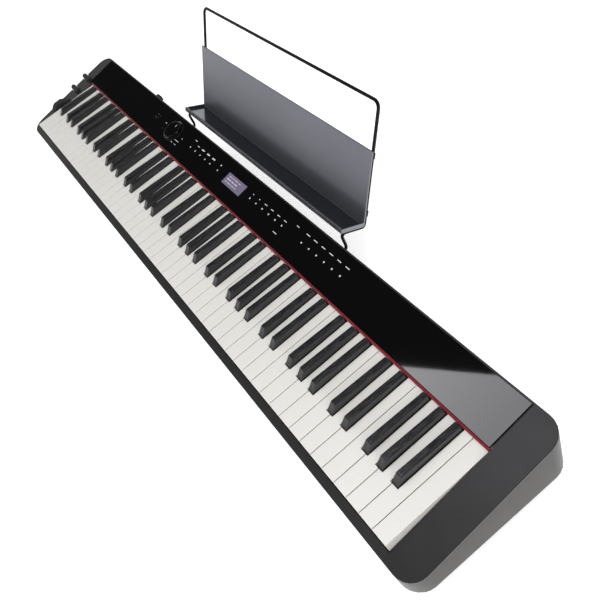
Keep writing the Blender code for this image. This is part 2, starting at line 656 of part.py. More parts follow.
def panel_hole(radius, x, y):
    """Cutter through the gloss panel, square to it."""
    depth = PANEL_THICKNESS + 6.0
    return shifted(turned([(radius, -depth), (radius, depth)]), (x, y, deck_height(y)))


def add_panel_and_boards(piano):
    """Gloss panel, the red felt along its front edge, and the boards and display under it."""
    x = (PANEL_LEFT_X, PANEL_RIGHT_X)
    panel = add_piece("top_panel", deck_slab(x, (PANEL_FRONT_Y, PANEL_REAR_Y), 0.0, -PANEL_THICKNESS), "gloss", piano)
    clear = SEAT_GAP
    window_x = (DISPLAY_X[0] - clear, DISPLAY_X[1] + clear)
    window_y = (DISPLAY_Y[0] - clear, DISPLAY_Y[1] + clear)
    cut(panel, deck_slab(window_x, window_y, 4.0, -PANEL_THICKNESS - 4.0))
    cut(panel, join([panel_hole(DIAL_STEM_RADIUS + ROD_CLEARANCE, DIAL_X, DIAL_Y),
                     panel_hole(POWER_RADIUS + clear, POWER_X, POWER_Y)]))
    add_piece("key_felt_strip", box((-KEYBOARD_HALF, KEYBOARD_HALF), FELT_Y, FELT_Z), "felt", piano)
    under = -PANEL_THICKNESS - SEAT_GAP
    border = DISPLAY_BORDER
    frame_x = (DISPLAY_X[0] - border, DISPLAY_X[1] + border)
    frame_y = (DISPLAY_Y[0] - border, DISPLAY_Y[1] + border)
    display = add_piece("display_module", deck_slab(frame_x, frame_y, under, under - 3.6), "lcd", piano)
    weld(display, deck_slab(DISPLAY_X, DISPLAY_Y, -0.1, under - 1.0))
    board = add_piece("touch_board", deck_slab(TOUCH_BOARD_X, BOARD_Y, under, under - BOARD_THICKNESS),
                      "board", piano)
    cut(board, deck_slab((frame_x[0] - 1.0, frame_x[1] + 1.0), (frame_y[0] - 1.0, frame_y[1] + 1.0), 0.0, -12.0))
    add_piece("main_board", deck_slab(MAIN_BOARD_X, BOARD_Y, under, under - BOARD_THICKNESS), "board", piano)


def add_controls(piano):
    """Volume dial, power button, pitch wheel and the two side knobs, each on its own axis."""
    tilt = math.degrees(math.atan(DECK_SLOPE))
    top = SEAT_GAP + DIAL_HEIGHT
    profile = [(DIAL_STEM_RADIUS, -7.0), (DIAL_STEM_RADIUS, SEAT_GAP), (DIAL_RADIUS, SEAT_GAP),
               (DIAL_RADIUS, top - 1.5), (DIAL_RADIUS - 1.5, top), (DIAL_RADIUS - 5.0, top),
               (DIAL_RADIUS - 7.0, top - 0.8)]
    add_piece("volume_dial", turned(profile, steps=36), "gloss", piano, (DIAL_X, DIAL_Y, deck_height(DIAL_Y)),
              tilt, True)
    under = -PANEL_THICKNESS - 2 * SEAT_GAP
    profile = [(POWER_RADIUS + 2.0, under - 1.5), (POWER_RADIUS + 2.0, under), (POWER_RADIUS, under),
               (POWER_RADIUS, POWER_HEIGHT - 0.4), (POWER_RADIUS - 0.4, POWER_HEIGHT)]
    origin = (POWER_X, POWER_Y, deck_height(POWER_Y))
    add_piece("power_button", turned(profile), "gloss", piano, origin, tilt, True)
    low, high = WHEEL_X
    rim = WHEEL_RADIUS
    profile = [(WHEEL_AXLE_RADIUS, WHEEL_AXLE_END_X), (WHEEL_AXLE_RADIUS, low), (rim - 2.5, low), (rim, low + 2.5),
               (rim, high - 2.5), (rim - 2.5, high)]
    wheel = add_piece("pitch_wheel", turned(profile, axis="X", steps=36), "rubber", piano,
                      (0.0, WHEEL_Y, WHEEL_Z), smooth=True)
    dimple = turned([(6.0, low - 2.0), (6.0, high + 2.0)], axis="X")
    cut(wheel, shifted(dimple, (0.0, 0.0, rim + 3.6)))
    for name, y in KNOB_PLACES_Y.items():
        low, high = KNOB_X
        radius = KNOB_RADIUS
        profile = [(radius - 1.8, low), (radius - 0.8, low + 0.4), (radius, low + 1.4), (radius, high - 0.5),
                   (radius - 0.5, high)]
        add_piece(name, turned(profile, axis="X"), "rubber", piano, (0.0, y, knob_axis_z(y)), smooth=True)


def add_jack_board(piano):
    """Upright board behind the action with the sockets that face the rear wall."""
    y = (JACK_BOARD_Y, JACK_BOARD_Y + BOARD_THICKNESS)
    board = add_piece("jack_board", box(JACK_BOARD_X, y, JACK_BOARD_Z), "board", piano)
    reach = (JACK_BOARD_Y + 0.5, JACK_FACE_Y)
    bodies = []
    bores = []
    for x, (radius, bore) in ROUND_JACKS.items():
        bodies.append(shifted(turned([(radius, reach[0]), (radius, reach[1])], axis="Y", steps=20), (x, 0.0, JACK_Z)))
        tunnel = turned([(bore, reach[1] - 13.0), (bore, reach[1] + 1.0)], axis="Y", steps=16)
        bores.append(shifted(tunnel, (x, 0.0, JACK_Z)))
    for x, (half_x, half_z) in SQUARE_JACKS.items():
        bodies.append(box((x - half_x, x + half_x), reach, (JACK_Z - half_z, JACK_Z + half_z)))
        bores.append(box((x - half_x + 0.8, x + half_x - 0.8), (reach[1] - 13.0, reach[1] + 1.0),
                         (JACK_Z - half_z + 0.8, JACK_Z + half_z - 0.8)))
    weld(board, join(bodies))
    cut(board, join(bores))
    shell = add_piece("wireless_adapter",
                      box((-ADAPTER_HALF_WIDTH, ADAPTER_HALF_WIDTH), (0.0, ADAPTER_LENGTH),
                          (-ADAPTER_HALF_HEIGHT, ADAPTER_HALF_HEIGHT)), "rubber", piano,
                      (USB_PORT_X, CASE_REAR_Y + SEAT_GAP, JACK_Z))
    half_x, half_z, length = ADAPTER_PLUG
    weld(shell, box((-half_x, half_x), (-length, 1.0), (-half_z, half_z)))


def racetrack(length, width, steps=8):
    """Outline with round ends, its long way along Y."""
    radius = width / 2
    straight = length / 2 - radius
    points = []
    for end, start in ((1, 0.0), (-1, math.pi)):
        for i in range(steps + 1):
            angle = start + math.pi * i / steps
            points.append((radius * math.cos(angle), end * straight + radius * math.sin(angle)))
    return points


def add_speakers(piano):
    """Slim drivers in the two end blocks, facing the slots in the floor."""
    low, high = SPEAKER_Z
    width, length = SPEAKER_SIZE
    stages = ((1.0, 1.0, low), (1.0, 1.0, low + 2.5), (0.86, 0.94, low + 2.5), (0.62, 0.4, low + 13.0),
              (0.62, 0.3, low + 13.0), (0.62, 0.3, high))
    for name, side in (("speaker_left", -1), ("speaker_right", 1)):
        rings = [[(side * SPEAKER_X + x, SPEAKER_Y + y, z) for x, y in racetrack(length * along, width * across)]
                 for across, along, z in stages]
        add_piece(name, loft(rings), "speaker", piano, smooth=True)


def add_underside(piano):
    """Battery hatch cover and the four feet."""
    x = (HATCH_X[0] + HATCH_GAP, HATCH_X[1] - HATCH_GAP)
    y = (HATCH_Y[0] + HATCH_GAP, HATCH_Y[1] - HATCH_GAP)
    add_piece("battery_cover", box(x, y, (CASE_BOTTOM_Z, CASE_BOTTOM_Z + CASE_WALL - 0.4)), "case", piano)
    profile = [(FOOT_RADIUS - 2.0, CASE_BOTTOM_Z - FOOT_HEIGHT), (FOOT_RADIUS, CASE_BOTTOM_Z - FOOT_HEIGHT + 2.0),
               (FOOT_RADIUS, CASE_BOTTOM_Z - SEAT_GAP)]
    for name, (x, y) in FOOT_PLACES.items():
        add_piece(name, shifted(turned(profile), (x, y, 0.0)), "rubber", piano, smooth=True)


# --- Music rest -----------------------------------------------------------------------------------
def rest_point(forward, up):
    """Place in (y, z) of a point given along the tray and up the panel of the rest."""
    tilt = math.radians(REST_TILT)
    return (REST_CORNER_Y - forward * math.cos(tilt) + up * math.sin(tilt),
            REST_CORNER_Z + forward * math.sin(tilt) + up * math.cos(tilt))


def rounded_path(corners, radii, steps=5):
    """Polyline through corner points, each inner corner turned to an arc of its own radius."""
    corners = [Vector(corner) for corner in corners]
    path = [corners[0]]
    for before, corner, after, radius in zip(corners, corners[1:], corners[2:], radii):
        back = (before - corner).normalized()
        ahead = (after - corner).normalized()
        half = math.acos(max(-1.0, min(1.0, back.dot(ahead)))) / 2
        reach = radius / math.tan(half)
        centre = corner + (back + ahead).normalized() * radius / math.sin(half)
        start = corner + back * reach - centre
        end = corner + ahead * reach - centre
        span = start.angle(end)
        for i in range(steps + 1):
            t = i / steps
            arm = (start * math.sin((1 - t) * span) + end * math.sin(t * span)) / math.sin(span)
            path.append(centre + arm)
    path.append(corners[-1])
    return path


def add_music_rest(piano):
    """Sheet with tray and lip, carried by one bent wire whose two ends plug into the rear wall."""
    sheet, lip, depth, height = REST_SHEET, REST_LIP, REST_TRAY_DEPTH, REST_PANEL_HEIGHT
    fold = 0.8 * sheet
    outline = [(0.0, 0.0), (0.0, height), (sheet, height), (sheet, fold - sheet), (sheet - fold, -sheet),
               (-depth, -sheet), (-depth, lip), (-depth + sheet, lip), (-depth + sheet, 0.0)]
    half = REST_HALF_LENGTH
    panel = add_piece("music_rest_panel", profile_along_x(outline, -half, half), "rest", piano,
                      (0.0, REST_CORNER_Y, REST_CORNER_Z), -REST_TILT)
    ends = [box((side * half - (sheet if side > 0 else 0.0), side * half + (sheet if side < 0 else 0.0)),
                (-depth + 0.5, 1.0), (-1.0, lip)) for side in (-1, 1)]
    weld(panel, join(ends))
    away = sheet + REST_WIRE_GAP + REST_WIRE_RADIUS
    span = REST_WIRE_HALF_SPAN
    top = rest_point(-away, height + REST_WIRE_RISE)
    corner = rest_point(-away, -away)
    front = rest_point((REST_CORNER_Y - REST_LEG_Y) / math.cos(math.radians(REST_TILT)) - 2.9, -away)
    side = [top, corner, front, (REST_LEG_Y, REST_SOCKET_Z), (REST_LEG_END_Y, REST_SOCKET_Z)]
    left = [(-span, y, z) for y, z in side]
    right = [(span, y, z) for y, z in side]
    bends = (REST_BEND_RADIUS, REST_FOLD_RADIUS, REST_FOLD_RADIUS)
    route = rounded_path(left[::-1] + right, (*bends, REST_BEND_RADIUS, REST_BEND_RADIUS, *bends[::-1]))
    curve = bpy.data.curves.new("music_rest_wire", "CURVE")
    curve.dimensions = "3D"
    curve.bevel_depth = REST_WIRE_RADIUS * MM
    curve.bevel_resolution = 2
    curve.use_fill_caps = True
    spline = curve.splines.new("POLY")
    spline.points.add(len(route) - 1)
    for point, place in zip(spline.points, route):
        point.co = (*(place * MM), 1.0)
    colour, roughness, metallic = FINISHES["wire"]
    curve.materials.append(plastic("music_rest_wire", colour, roughness, metallic))
    wire = bpy.data.objects.new("music_rest_wire", curve)
    bpy.context.scene.collection.objects.link(wire)
    wire.parent = piano


def stand_on_origin(piano):
    """Move the piano so that the middle of its box is over the origin and its feet are on Z = 0."""
    bpy.context.view_layer.update()
    depsgraph = bpy.context.evaluated_depsgraph_get()
    corners = []
    for piece in bpy.context.scene.collection.objects:
        if piece.type == "EMPTY":
            continue
        solid = piece.evaluated_get(depsgraph)
        mesh = solid.to_mesh()
        corners += [solid.matrix_world @ vertex.co for vertex in mesh.vertices]
        solid.to_mesh_clear()
    low = [min(corner[i] for corner in corners) for i in range(3)]
    high = [max(corner[i] for corner in corners) for i in range(3)]
    piano.location = (-(low[0] + high[0]) / 2, -(low[1] + high[1]) / 2, -low[2])
    bpy.context.view_layer.update()


def main():
    """Clear the scene and build every piece."""
    for leftover in list(bpy.data.objects):
        bpy.data.objects.remove(leftover, do_unlink=True)
    helpers = bpy.data.collections.new(SUPPORT_COLLECTION)
    bpy.context.scene.collection.children.link(helpers)
    piano = bpy.data.objects.new("piano", None)
    bpy.context.scene.collection.objects.link(piano)
    add_lower_case(piano)
    add_upper_case(piano)
    add_panel_and_boards(piano)
    add_controls(piano)
    add_chassis(piano)
    add_keyboard(piano)
    add_jack_board(piano)
    add_speakers(piano)
    add_underside(piano)
    add_music_rest(piano)
    stand_on_origin(piano)


main()
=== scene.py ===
"""Looks of a slim digital piano with a plug-in music rest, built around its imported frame.

Sizes are in millimetres in keyboard coordinates unless a name says otherwise: X = 0 is the middle of
the keyboard and +X runs to the treble, Y = 0 is the front edge of the white keys and +Y runs to the
rear, Z = 0 is the top of the white keys. Layout turns them into the frame's metres.
"""
import json
import logging
import math
from contextlib import contextmanager
from dataclasses import dataclass, field
from enum import Enum
from typing import Callable, Iterable, Iterator, Optional

import bmesh
import bpy
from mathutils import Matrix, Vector

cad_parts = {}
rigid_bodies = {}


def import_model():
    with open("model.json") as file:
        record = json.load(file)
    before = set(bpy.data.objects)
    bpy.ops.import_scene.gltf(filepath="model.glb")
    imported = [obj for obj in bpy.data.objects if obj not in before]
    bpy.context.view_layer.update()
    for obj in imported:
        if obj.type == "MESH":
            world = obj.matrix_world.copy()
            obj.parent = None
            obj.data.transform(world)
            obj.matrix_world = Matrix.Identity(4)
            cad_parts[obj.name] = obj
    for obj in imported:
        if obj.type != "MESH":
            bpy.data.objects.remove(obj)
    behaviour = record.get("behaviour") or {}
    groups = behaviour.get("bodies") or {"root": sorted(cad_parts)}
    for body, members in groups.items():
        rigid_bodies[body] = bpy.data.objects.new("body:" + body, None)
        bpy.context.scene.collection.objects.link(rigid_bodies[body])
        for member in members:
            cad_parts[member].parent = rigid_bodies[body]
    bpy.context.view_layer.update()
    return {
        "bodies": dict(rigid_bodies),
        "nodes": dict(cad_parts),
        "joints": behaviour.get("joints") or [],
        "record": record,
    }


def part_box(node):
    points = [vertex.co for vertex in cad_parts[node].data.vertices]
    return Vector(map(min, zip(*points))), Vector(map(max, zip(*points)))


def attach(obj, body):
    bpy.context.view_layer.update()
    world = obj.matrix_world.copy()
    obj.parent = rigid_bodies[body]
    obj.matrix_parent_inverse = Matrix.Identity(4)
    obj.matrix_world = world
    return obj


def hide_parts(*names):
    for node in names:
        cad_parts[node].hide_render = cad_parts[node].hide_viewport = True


LOG = logging.getLogger("piano")
MM = 0.001
DECK_HEIGHT_AT_FRONT = -17.65
DECK_SLOPE = 0.1442
DECK_TILT = math.atan(DECK_SLOPE)
FACING = 0.9  # least share of a unit normal that counts as looking along an axis
NEAR = 0.00001  # places closer than this, in metres, are one place
FLAT_ANGLE = math.radians(1.0)
SMOOTH_ANGLE = math.radians(35.0)
WHITE = (1.0, 1.0, 1.0, 1.0)
BLACK = (0.0, 0.0, 0.0, 1.0)
DUST_COLOUR = (0.42, 0.40, 0.37)
DUST_ROUGHNESS = 0.8
LEAST_ROUGHNESS = 0.02
COAT_ROUGHNESS = 0.03
BUMP_STRENGTH = 0.6
DRIFT_SCALE = 9.0

Colour = tuple[float, float, float]
Place = tuple[float, float, float]
ORIGIN: Place = (0.0, 0.0, 0.0)


# --- Layout -----------------------------------------------------------------------------------------
@dataclass(frozen=True)
class Layout:
    """Where the keyboard's own origin lies in the frame, in metres."""

    origin: Vector

    @classmethod
    def from_frame(cls) -> "Layout":
        """Read the origin off the felt strip and the lowest white keys.

        Returns:
            The layout of this frame.
        """
        felt_low, felt_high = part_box("key_felt_strip")
        keys_low, keys_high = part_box("white_keys_a0_b1")
        return cls(Vector(((felt_low[0] + felt_high[0]) / 2, keys_low[1], keys_high[2])))

    def at(self, x: float, y: float, z: float) -> Vector:
        """Turn keyboard millimetres into frame metres."""
        return self.origin + Vector((x, y, z)) * MM

    def on_deck(self, x: float, y: float, lift: float = 0.0) -> Vector:
        """Place in metres of a point on the sloping deck, raised square to it by a lift."""
        slant = Vector((0.0, -math.sin(DECK_TILT), math.cos(DECK_TILT))) * lift * MM
        return self.at(x, y, DECK_HEIGHT_AT_FRONT + DECK_SLOPE * y) + slant


# --- Shader node groups -----------------------------------------------------------------------------
class NodeBuilder:
    """Short hand for placing and joining shader nodes in one tree."""

    def __init__(self, tree: bpy.types.NodeTree) -> None:
        """Keep the tree and start at its left side."""
        self.tree = tree
        self.column = 0

    def add(self, kind: str, **settings: object) -> bpy.types.Node:
        """Place one node.

        Args:
            kind: The node's type without its ShaderNode prefix.
            **settings: Node properties, and sockets' values under the keyword inputs.

        Returns:
            The new node.
        """
        node = self.tree.nodes.new(kind if kind.startswith("Node") else "ShaderNode" + kind)
        self.column += 1
        node.location = (self.column * 180 - 1400, -40 * (self.column % 5))
        for name, value in dict(settings.pop("inputs", {})).items():
            node.inputs[name].default_value = value
        for name, value in settings.items():
            setattr(node, name, value)
        return node

    def join(self, source: bpy.types.NodeSocket, target: bpy.types.NodeSocket) -> None:
        """Join an output to an input."""
        self.tree.links.new(source, target)

    def math(self, operation: str, first: object, second: object = 0.5) -> bpy.types.NodeSocket:
        """Place a math node whose operands are sockets or plain numbers.

        Returns:
            Its result.
        """
        node = self.add("Math", operation=operation)
        for index, value in enumerate((first, second)):
            if isinstance(value, (int, float)):
                node.inputs[index].default_value = value
            else:
                self.join(value, node.inputs[index])
        return node.outputs[0]

    def texture(self, kind: str, place: bpy.types.NodeSocket, inputs: dict[str, object],
                **settings: object) -> bpy.types.Node:
        """Place a texture or a group that reads a place.

        Args:
            kind: The node's type without its ShaderNode prefix.
            place: Where it is read.
            inputs: Its sockets' values.
            **settings: Its properties.

        Returns:
            The new node.
        """
        node = self.add(kind, **settings)
        self.join(place, node.inputs["Vector"])
        for title, value in inputs.items():
            node.inputs[title].default_value = value
        return node

    def stretch(self, place: bpy.types.NodeSocket, scale: Place) -> bpy.types.NodeSocket:
        """Scale a place along its axes."""
        return self.texture("Mapping", place, {"Scale": scale}).outputs[0]

    def fade(self, value: bpy.types.NodeSocket, reach: tuple[float, float],
             ends: tuple[float, float] = (0.0, 1.0), smooth: bool = True) -> bpy.types.NodeSocket:
        """Carry a value from a reach to new ends.

        Args:
            value: The value.
            reach: Its low and high.
            ends: What they turn into.
            smooth: Ease in and out.

        Returns:
            The new value.
        """
        node = self.add("MapRange", interpolation_type="SMOOTHSTEP" if smooth else "LINEAR")
        titles = ("From Min", "From Max", "To Min", "To Max")
        for title, number in zip(titles, (*reach, *ends)):
            node.inputs[title].default_value = number
        self.join(value, node.inputs["Value"])
        return node.outputs["Result"]

    def tones(self, first: object, second: Colour, mask: bpy.types.NodeSocket) -> bpy.types.NodeSocket:
        """Mix a colour or a colour's socket with a second colour by a mask.

        Returns:
            The mixed colour.
        """
        node = self.add("Mix", data_type="RGBA")
        if isinstance(first, tuple):
            node.inputs["A"].default_value = (*first, 1.0)
        else:
            self.join(first, node.inputs["A"])
        node.inputs["B"].default_value = (*second, 1.0)
        self.join(mask, node.inputs["Factor"])
        return node.outputs["Result"]

    def shaders(self, share: bpy.types.NodeSocket, first: bpy.types.Node,
                second: bpy.types.Node) -> bpy.types.Node:
        """Mix two shaders by the second one's share."""
        node = self.add("MixShader")
        for source, target in zip((share, first.outputs[0], second.outputs[0]), node.inputs):
            self.join(source, target)
        return node


def new_material(name: str, **inputs: object) -> tuple[bpy.types.Material, NodeBuilder, bpy.types.Node]:
    """Start a material on its own shader.

    Args:
        name: The material's name.
        **inputs: Values of the shader's sockets, with _ for each blank in a socket's name.

    Returns:
        The material, a builder for its tree, and its shader.
    """
    material = bpy.data.materials.new(name)
    material.use_nodes = True
    shader = material.node_tree.nodes["Principled BSDF"]
    for title, value in inputs.items():
        shader.inputs[title.replace("_", " ")].default_value = value
    return material, NodeBuilder(material.node_tree), shader


def new_group(name: str, inputs: dict[str, float],
              outputs: Iterable[str]) -> tuple[NodeBuilder, bpy.types.Node, bpy.types.Node]:
    """Start a shader node group with named sockets.

    Args:
        name: The group's name.
        inputs: Names and first values of its number inputs; a Vector input is always added.
        outputs: Names of its number outputs.

    Returns:
        A builder for the group, and its input and output nodes.
    """
    tree = bpy.data.node_groups.new(name, "ShaderNodeTree")
    tree.interface.new_socket(name="Vector", in_out="INPUT", socket_type="NodeSocketVector")
    for title, value in inputs.items():
        socket = tree.interface.new_socket(name=title, in_out="INPUT", socket_type="NodeSocketFloat")
        socket.default_value = value
    for title in outputs:
        tree.interface.new_socket(name=title, in_out="OUTPUT", socket_type="NodeSocketFloat")
    build = NodeBuilder(tree)
    return build, build.add("NodeGroupInput"), build.add("NodeGroupOutput")


def make_grain_group() -> bpy.types.NodeTree:
    """Spark-eroded mould grain: fine pits over a slower drift.

    Returns:
        A group with the outputs Height and Drift.
    """
    build, source, result = new_group("moulded grain", {"Scale": 900.0, "Drift Scale": 14.0},
                                      ("Height", "Drift"))
    place = source.outputs["Vector"]
    pits = build.texture("TexNoise", place, {"Detail": 3.0, "Roughness": 0.6})
    cells = build.texture("TexVoronoi", place, {"Randomness": 0.9})
    drift = build.texture("TexNoise", place, {"Detail": 2.0, "Roughness": 0.5})
    for texture, scale in ((pits, "Scale"), (cells, "Scale"), (drift, "Drift Scale")):
        build.join(source.outputs[scale], texture.inputs["Scale"])
    height = build.math("ADD", build.math("MULTIPLY", pits.outputs[0], 0.7),
                        build.math("MULTIPLY", cells.outputs[0], 0.3))
    build.join(height, result.inputs["Height"])
    build.join(drift.outputs[0], result.inputs["Drift"])
    return build.tree


def make_dust_group() -> bpy.types.NodeTree:
    """Thin dust that lies on faces that look up, broken into soft patches.

    Returns:
        A group with the output Mask.
    """
    build, source, result = new_group("settled dust", {"Amount": 0.1, "Scale": 40.0}, ("Mask",))
    patches = build.texture("TexNoise", source.outputs["Vector"], {"Detail": 5.0, "Roughness": 0.65})
    build.join(source.outputs["Scale"], patches.inputs["Scale"])
    split = build.add("SeparateXYZ")
    build.join(build.add("NewGeometry").outputs["Normal"], split.inputs[0])
    facing = build.math("MAXIMUM", split.outputs[2], 0.0)
    amount = build.math("MULTIPLY", patches.outputs[0], source.outputs["Amount"])
    spread = build.math("MULTIPLY", facing, amount)
    build.join(spread, result.inputs["Mask"])
    return build.tree


def make_handling_group() -> bpy.types.NodeTree:
    """Broad polish and smears left by hands, as a shift in roughness.

    Returns:
        A group with the output Shift.
    """
    build, source, result = new_group("handling", {"Scale": 18.0, "Strength": 0.05}, ("Shift",))
    smear = build.stretch(source.outputs["Vector"], (1.0, 2.6, 1.0))
    noise = build.texture("TexNoise", smear, {"Detail": 4.0, "Roughness": 0.55, "Distortion": 0.6})
    build.join(source.outputs["Scale"], noise.inputs["Scale"])
    centred = build.math("SUBTRACT", noise.outputs[0], 0.5)
    build.join(build.math("MULTIPLY", centred, source.outputs["Strength"]), result.inputs["Shift"])
    return build.tree


class Effects:
    """The shared shader node groups, each built once."""

    def __init__(self) -> None:
        """Build the groups."""
        self.grain = make_grain_group()
        self.dust = make_dust_group()
        self.handling = make_handling_group()


# --- Finishes ---------------------------------------------------------------------------------------
class Pattern(Enum):
    """What a finish carries besides its grain."""

    PLAIN = "plain"
    BRUSHED = "brushed"
    STREAKED = "streaked"
    FELTED = "felted"
    RIBBED = "ribbed"
    CIRCUIT = "circuit"


@dataclass(frozen=True)
class Finish:
    """One surface finish, from which a material is made.

    Attributes:
        name: The material's name.
        colour: Linear base colour.
        second: Colour that the slow drift turns towards.
        roughness: Middle roughness.
        handled: How far hands have shifted the roughness.
        grain: Grain cells per metre.
        depth: Depth of the grain in metres.
        metallic: Metalness.
        coat: Clear coat weight.
        dust: Amount of settled dust.
        pattern: Extra pattern.
        specular: Specular level.
        sheen: Sheen weight.
    """

    name: str
    colour: Colour
    second: Colour
    roughness: float
    handled: float = 0.06
    grain: float = 1400.0
    depth: float = 0.00002
    metallic: float = 0.0
    coat: float = 0.0
    dust: float = 0.04
    pattern: Pattern = Pattern.PLAIN
    specular: float = 0.5
    sheen: float = 0.0

    def build(self, effects: Effects) -> bpy.types.Material:
        """Make the material.

        Args:
            effects: The shared node groups.

        Returns:
            The finished material.
        """
        material, build, shader = new_material(
            self.name, Metallic=self.metallic, Specular_IOR_Level=self.specular, Coat_Weight=self.coat,
            Coat_Roughness=COAT_ROUGHNESS, Sheen_Weight=self.sheen)
        place = build.add("TexCoord").outputs["Object"]
        grain = build.texture("Group", place, {"Scale": self.grain, "Drift Scale": DRIFT_SCALE},
                              node_tree=effects.grain)
        hands = build.texture("Group", place, {"Strength": self.handled}, node_tree=effects.handling)
        settled = build.texture("Group", place, {"Amount": self.dust}, node_tree=effects.dust)
        dust = settled.outputs["Mask"]
        height, mask = self._pattern(build, place, grain)
        dusty = build.tones(build.tones(self.colour, self.second, mask), DUST_COLOUR, dust)
        build.join(dusty, shader.inputs["Base Color"])
        rough = build.math("ADD", build.math("ADD", hands.outputs["Shift"], self.roughness),
                           build.math("MULTIPLY", dust, DUST_ROUGHNESS))
        rough = build.math("MINIMUM", build.math("MAXIMUM", rough, LEAST_ROUGHNESS), 1.0)
        build.join(rough, shader.inputs["Roughness"])
        bump = build.add("Bump", inputs={"Strength": BUMP_STRENGTH, "Distance": self.depth})
        build.join(height, bump.inputs["Height"])
        build.join(bump.outputs["Normal"], shader.inputs["Normal"])
        return material

    def _pattern(self, build: NodeBuilder, place: bpy.types.NodeSocket,
                 grain: bpy.types.Node) -> tuple[bpy.types.NodeSocket, bpy.types.NodeSocket]:
        """Lay the finish's pattern over the grain.

        Returns:
            The height for the bump, and the mask that mixes the two colours.
        """
        height, mask = grain.outputs["Height"], grain.outputs["Drift"]
        if self.pattern is Pattern.BRUSHED:
            lines = build.texture("TexNoise", build.stretch(place, (0.02, 1.0, 1.0)),
                                  {"Scale": 2600.0, "Detail": 3.0})
            return lines.outputs[0], mask
        if self.pattern is Pattern.STREAKED:
            lines = build.texture("TexNoise", build.stretch(place, (1.0, 0.03, 1.0)),
                                  {"Scale": 1500.0, "Detail": 3.0})
            bands = build.fade(lines.outputs[0], (0.42, 0.66))
            return build.math("ADD", build.math("MULTIPLY", height, 0.5), lines.outputs[0]), bands
        if self.pattern is Pattern.FELTED:
            fibres = build.texture("TexNoise", place, {"Scale": 1800.0, "Detail": 6.0, "Roughness": 0.8,
                                                       "Distortion": 2.0})
            return build.math("ADD", fibres.outputs[0], height), fibres.outputs[0]
        if self.pattern is Pattern.RIBBED:
            ribs = build.texture("TexWave", place, {"Scale": 140.0, "Distortion": 0.0},
                                 wave_type="BANDS", bands_direction="X")
            return build.math("ADD", build.math("MULTIPLY", ribs.outputs[1], 2.0), height), mask
        if self.pattern is Pattern.CIRCUIT:
            tracks = build.texture("TexBrick", place, {"Scale": 160.0, "Mortar Size": 0.03,
                                                       "Brick Width": 0.9})
            return tracks.outputs["Fac"], tracks.outputs["Fac"]
        return height, mask


@dataclass(frozen=True)
class GlowFinish:
    """A printed mark or lit touch point: pale ink with a faint emission. On the touch points it is
    their own light; on printed marks and rings it is a painted glow.
    """

    name: str
    colour: Colour
    glow: float

    def build(self, effects: Effects) -> bpy.types.Material:
        """Make the material, its ink broken up by the shared grain."""
        material, build, shader = new_material(self.name, Roughness=0.35, Emission_Strength=self.glow)
        grain = build.texture("Group", build.add("TexCoord").outputs["Object"], {},
                              node_tree=effects.grain)
        worn = tuple(0.75 * channel for channel in self.colour)
        ink = build.tones(self.colour, worn, grain.outputs["Height"])
        build.join(ink, shader.inputs["Base Color"])
        # The ink colour also drives the emission. On printed marks and rings this is a painted glow,
        # not a lamp.
        build.join(ink, shader.inputs["Emission Color"])
        return material


@dataclass(frozen=True)
class DisplayFinish:
    """A backlit display: a soft violet field with fine rows of dots."""

    name: str
    field_colour: Colour
    dot_colour: Colour
    glow: float

    def build(self, effects: Effects) -> bpy.types.Material:
        """Make the material, with its dot rows laid along X."""
        material, build, shader = new_material(self.name, Roughness=0.12, Emission_Strength=self.glow)
        place = build.add("TexCoord").outputs["Object"]
        dots = build.texture("TexChecker", place, {"Scale": 1800.0})
        grain = build.texture("Group", place, {}, node_tree=effects.grain)
        mask = build.math("MULTIPLY", dots.outputs["Fac"], grain.outputs["Drift"])
        tint = build.tones(self.field_colour, self.dot_colour, mask)
        build.join(tint, shader.inputs["Base Color"])
        build.join(tint, shader.inputs["Emission Color"])
        return material


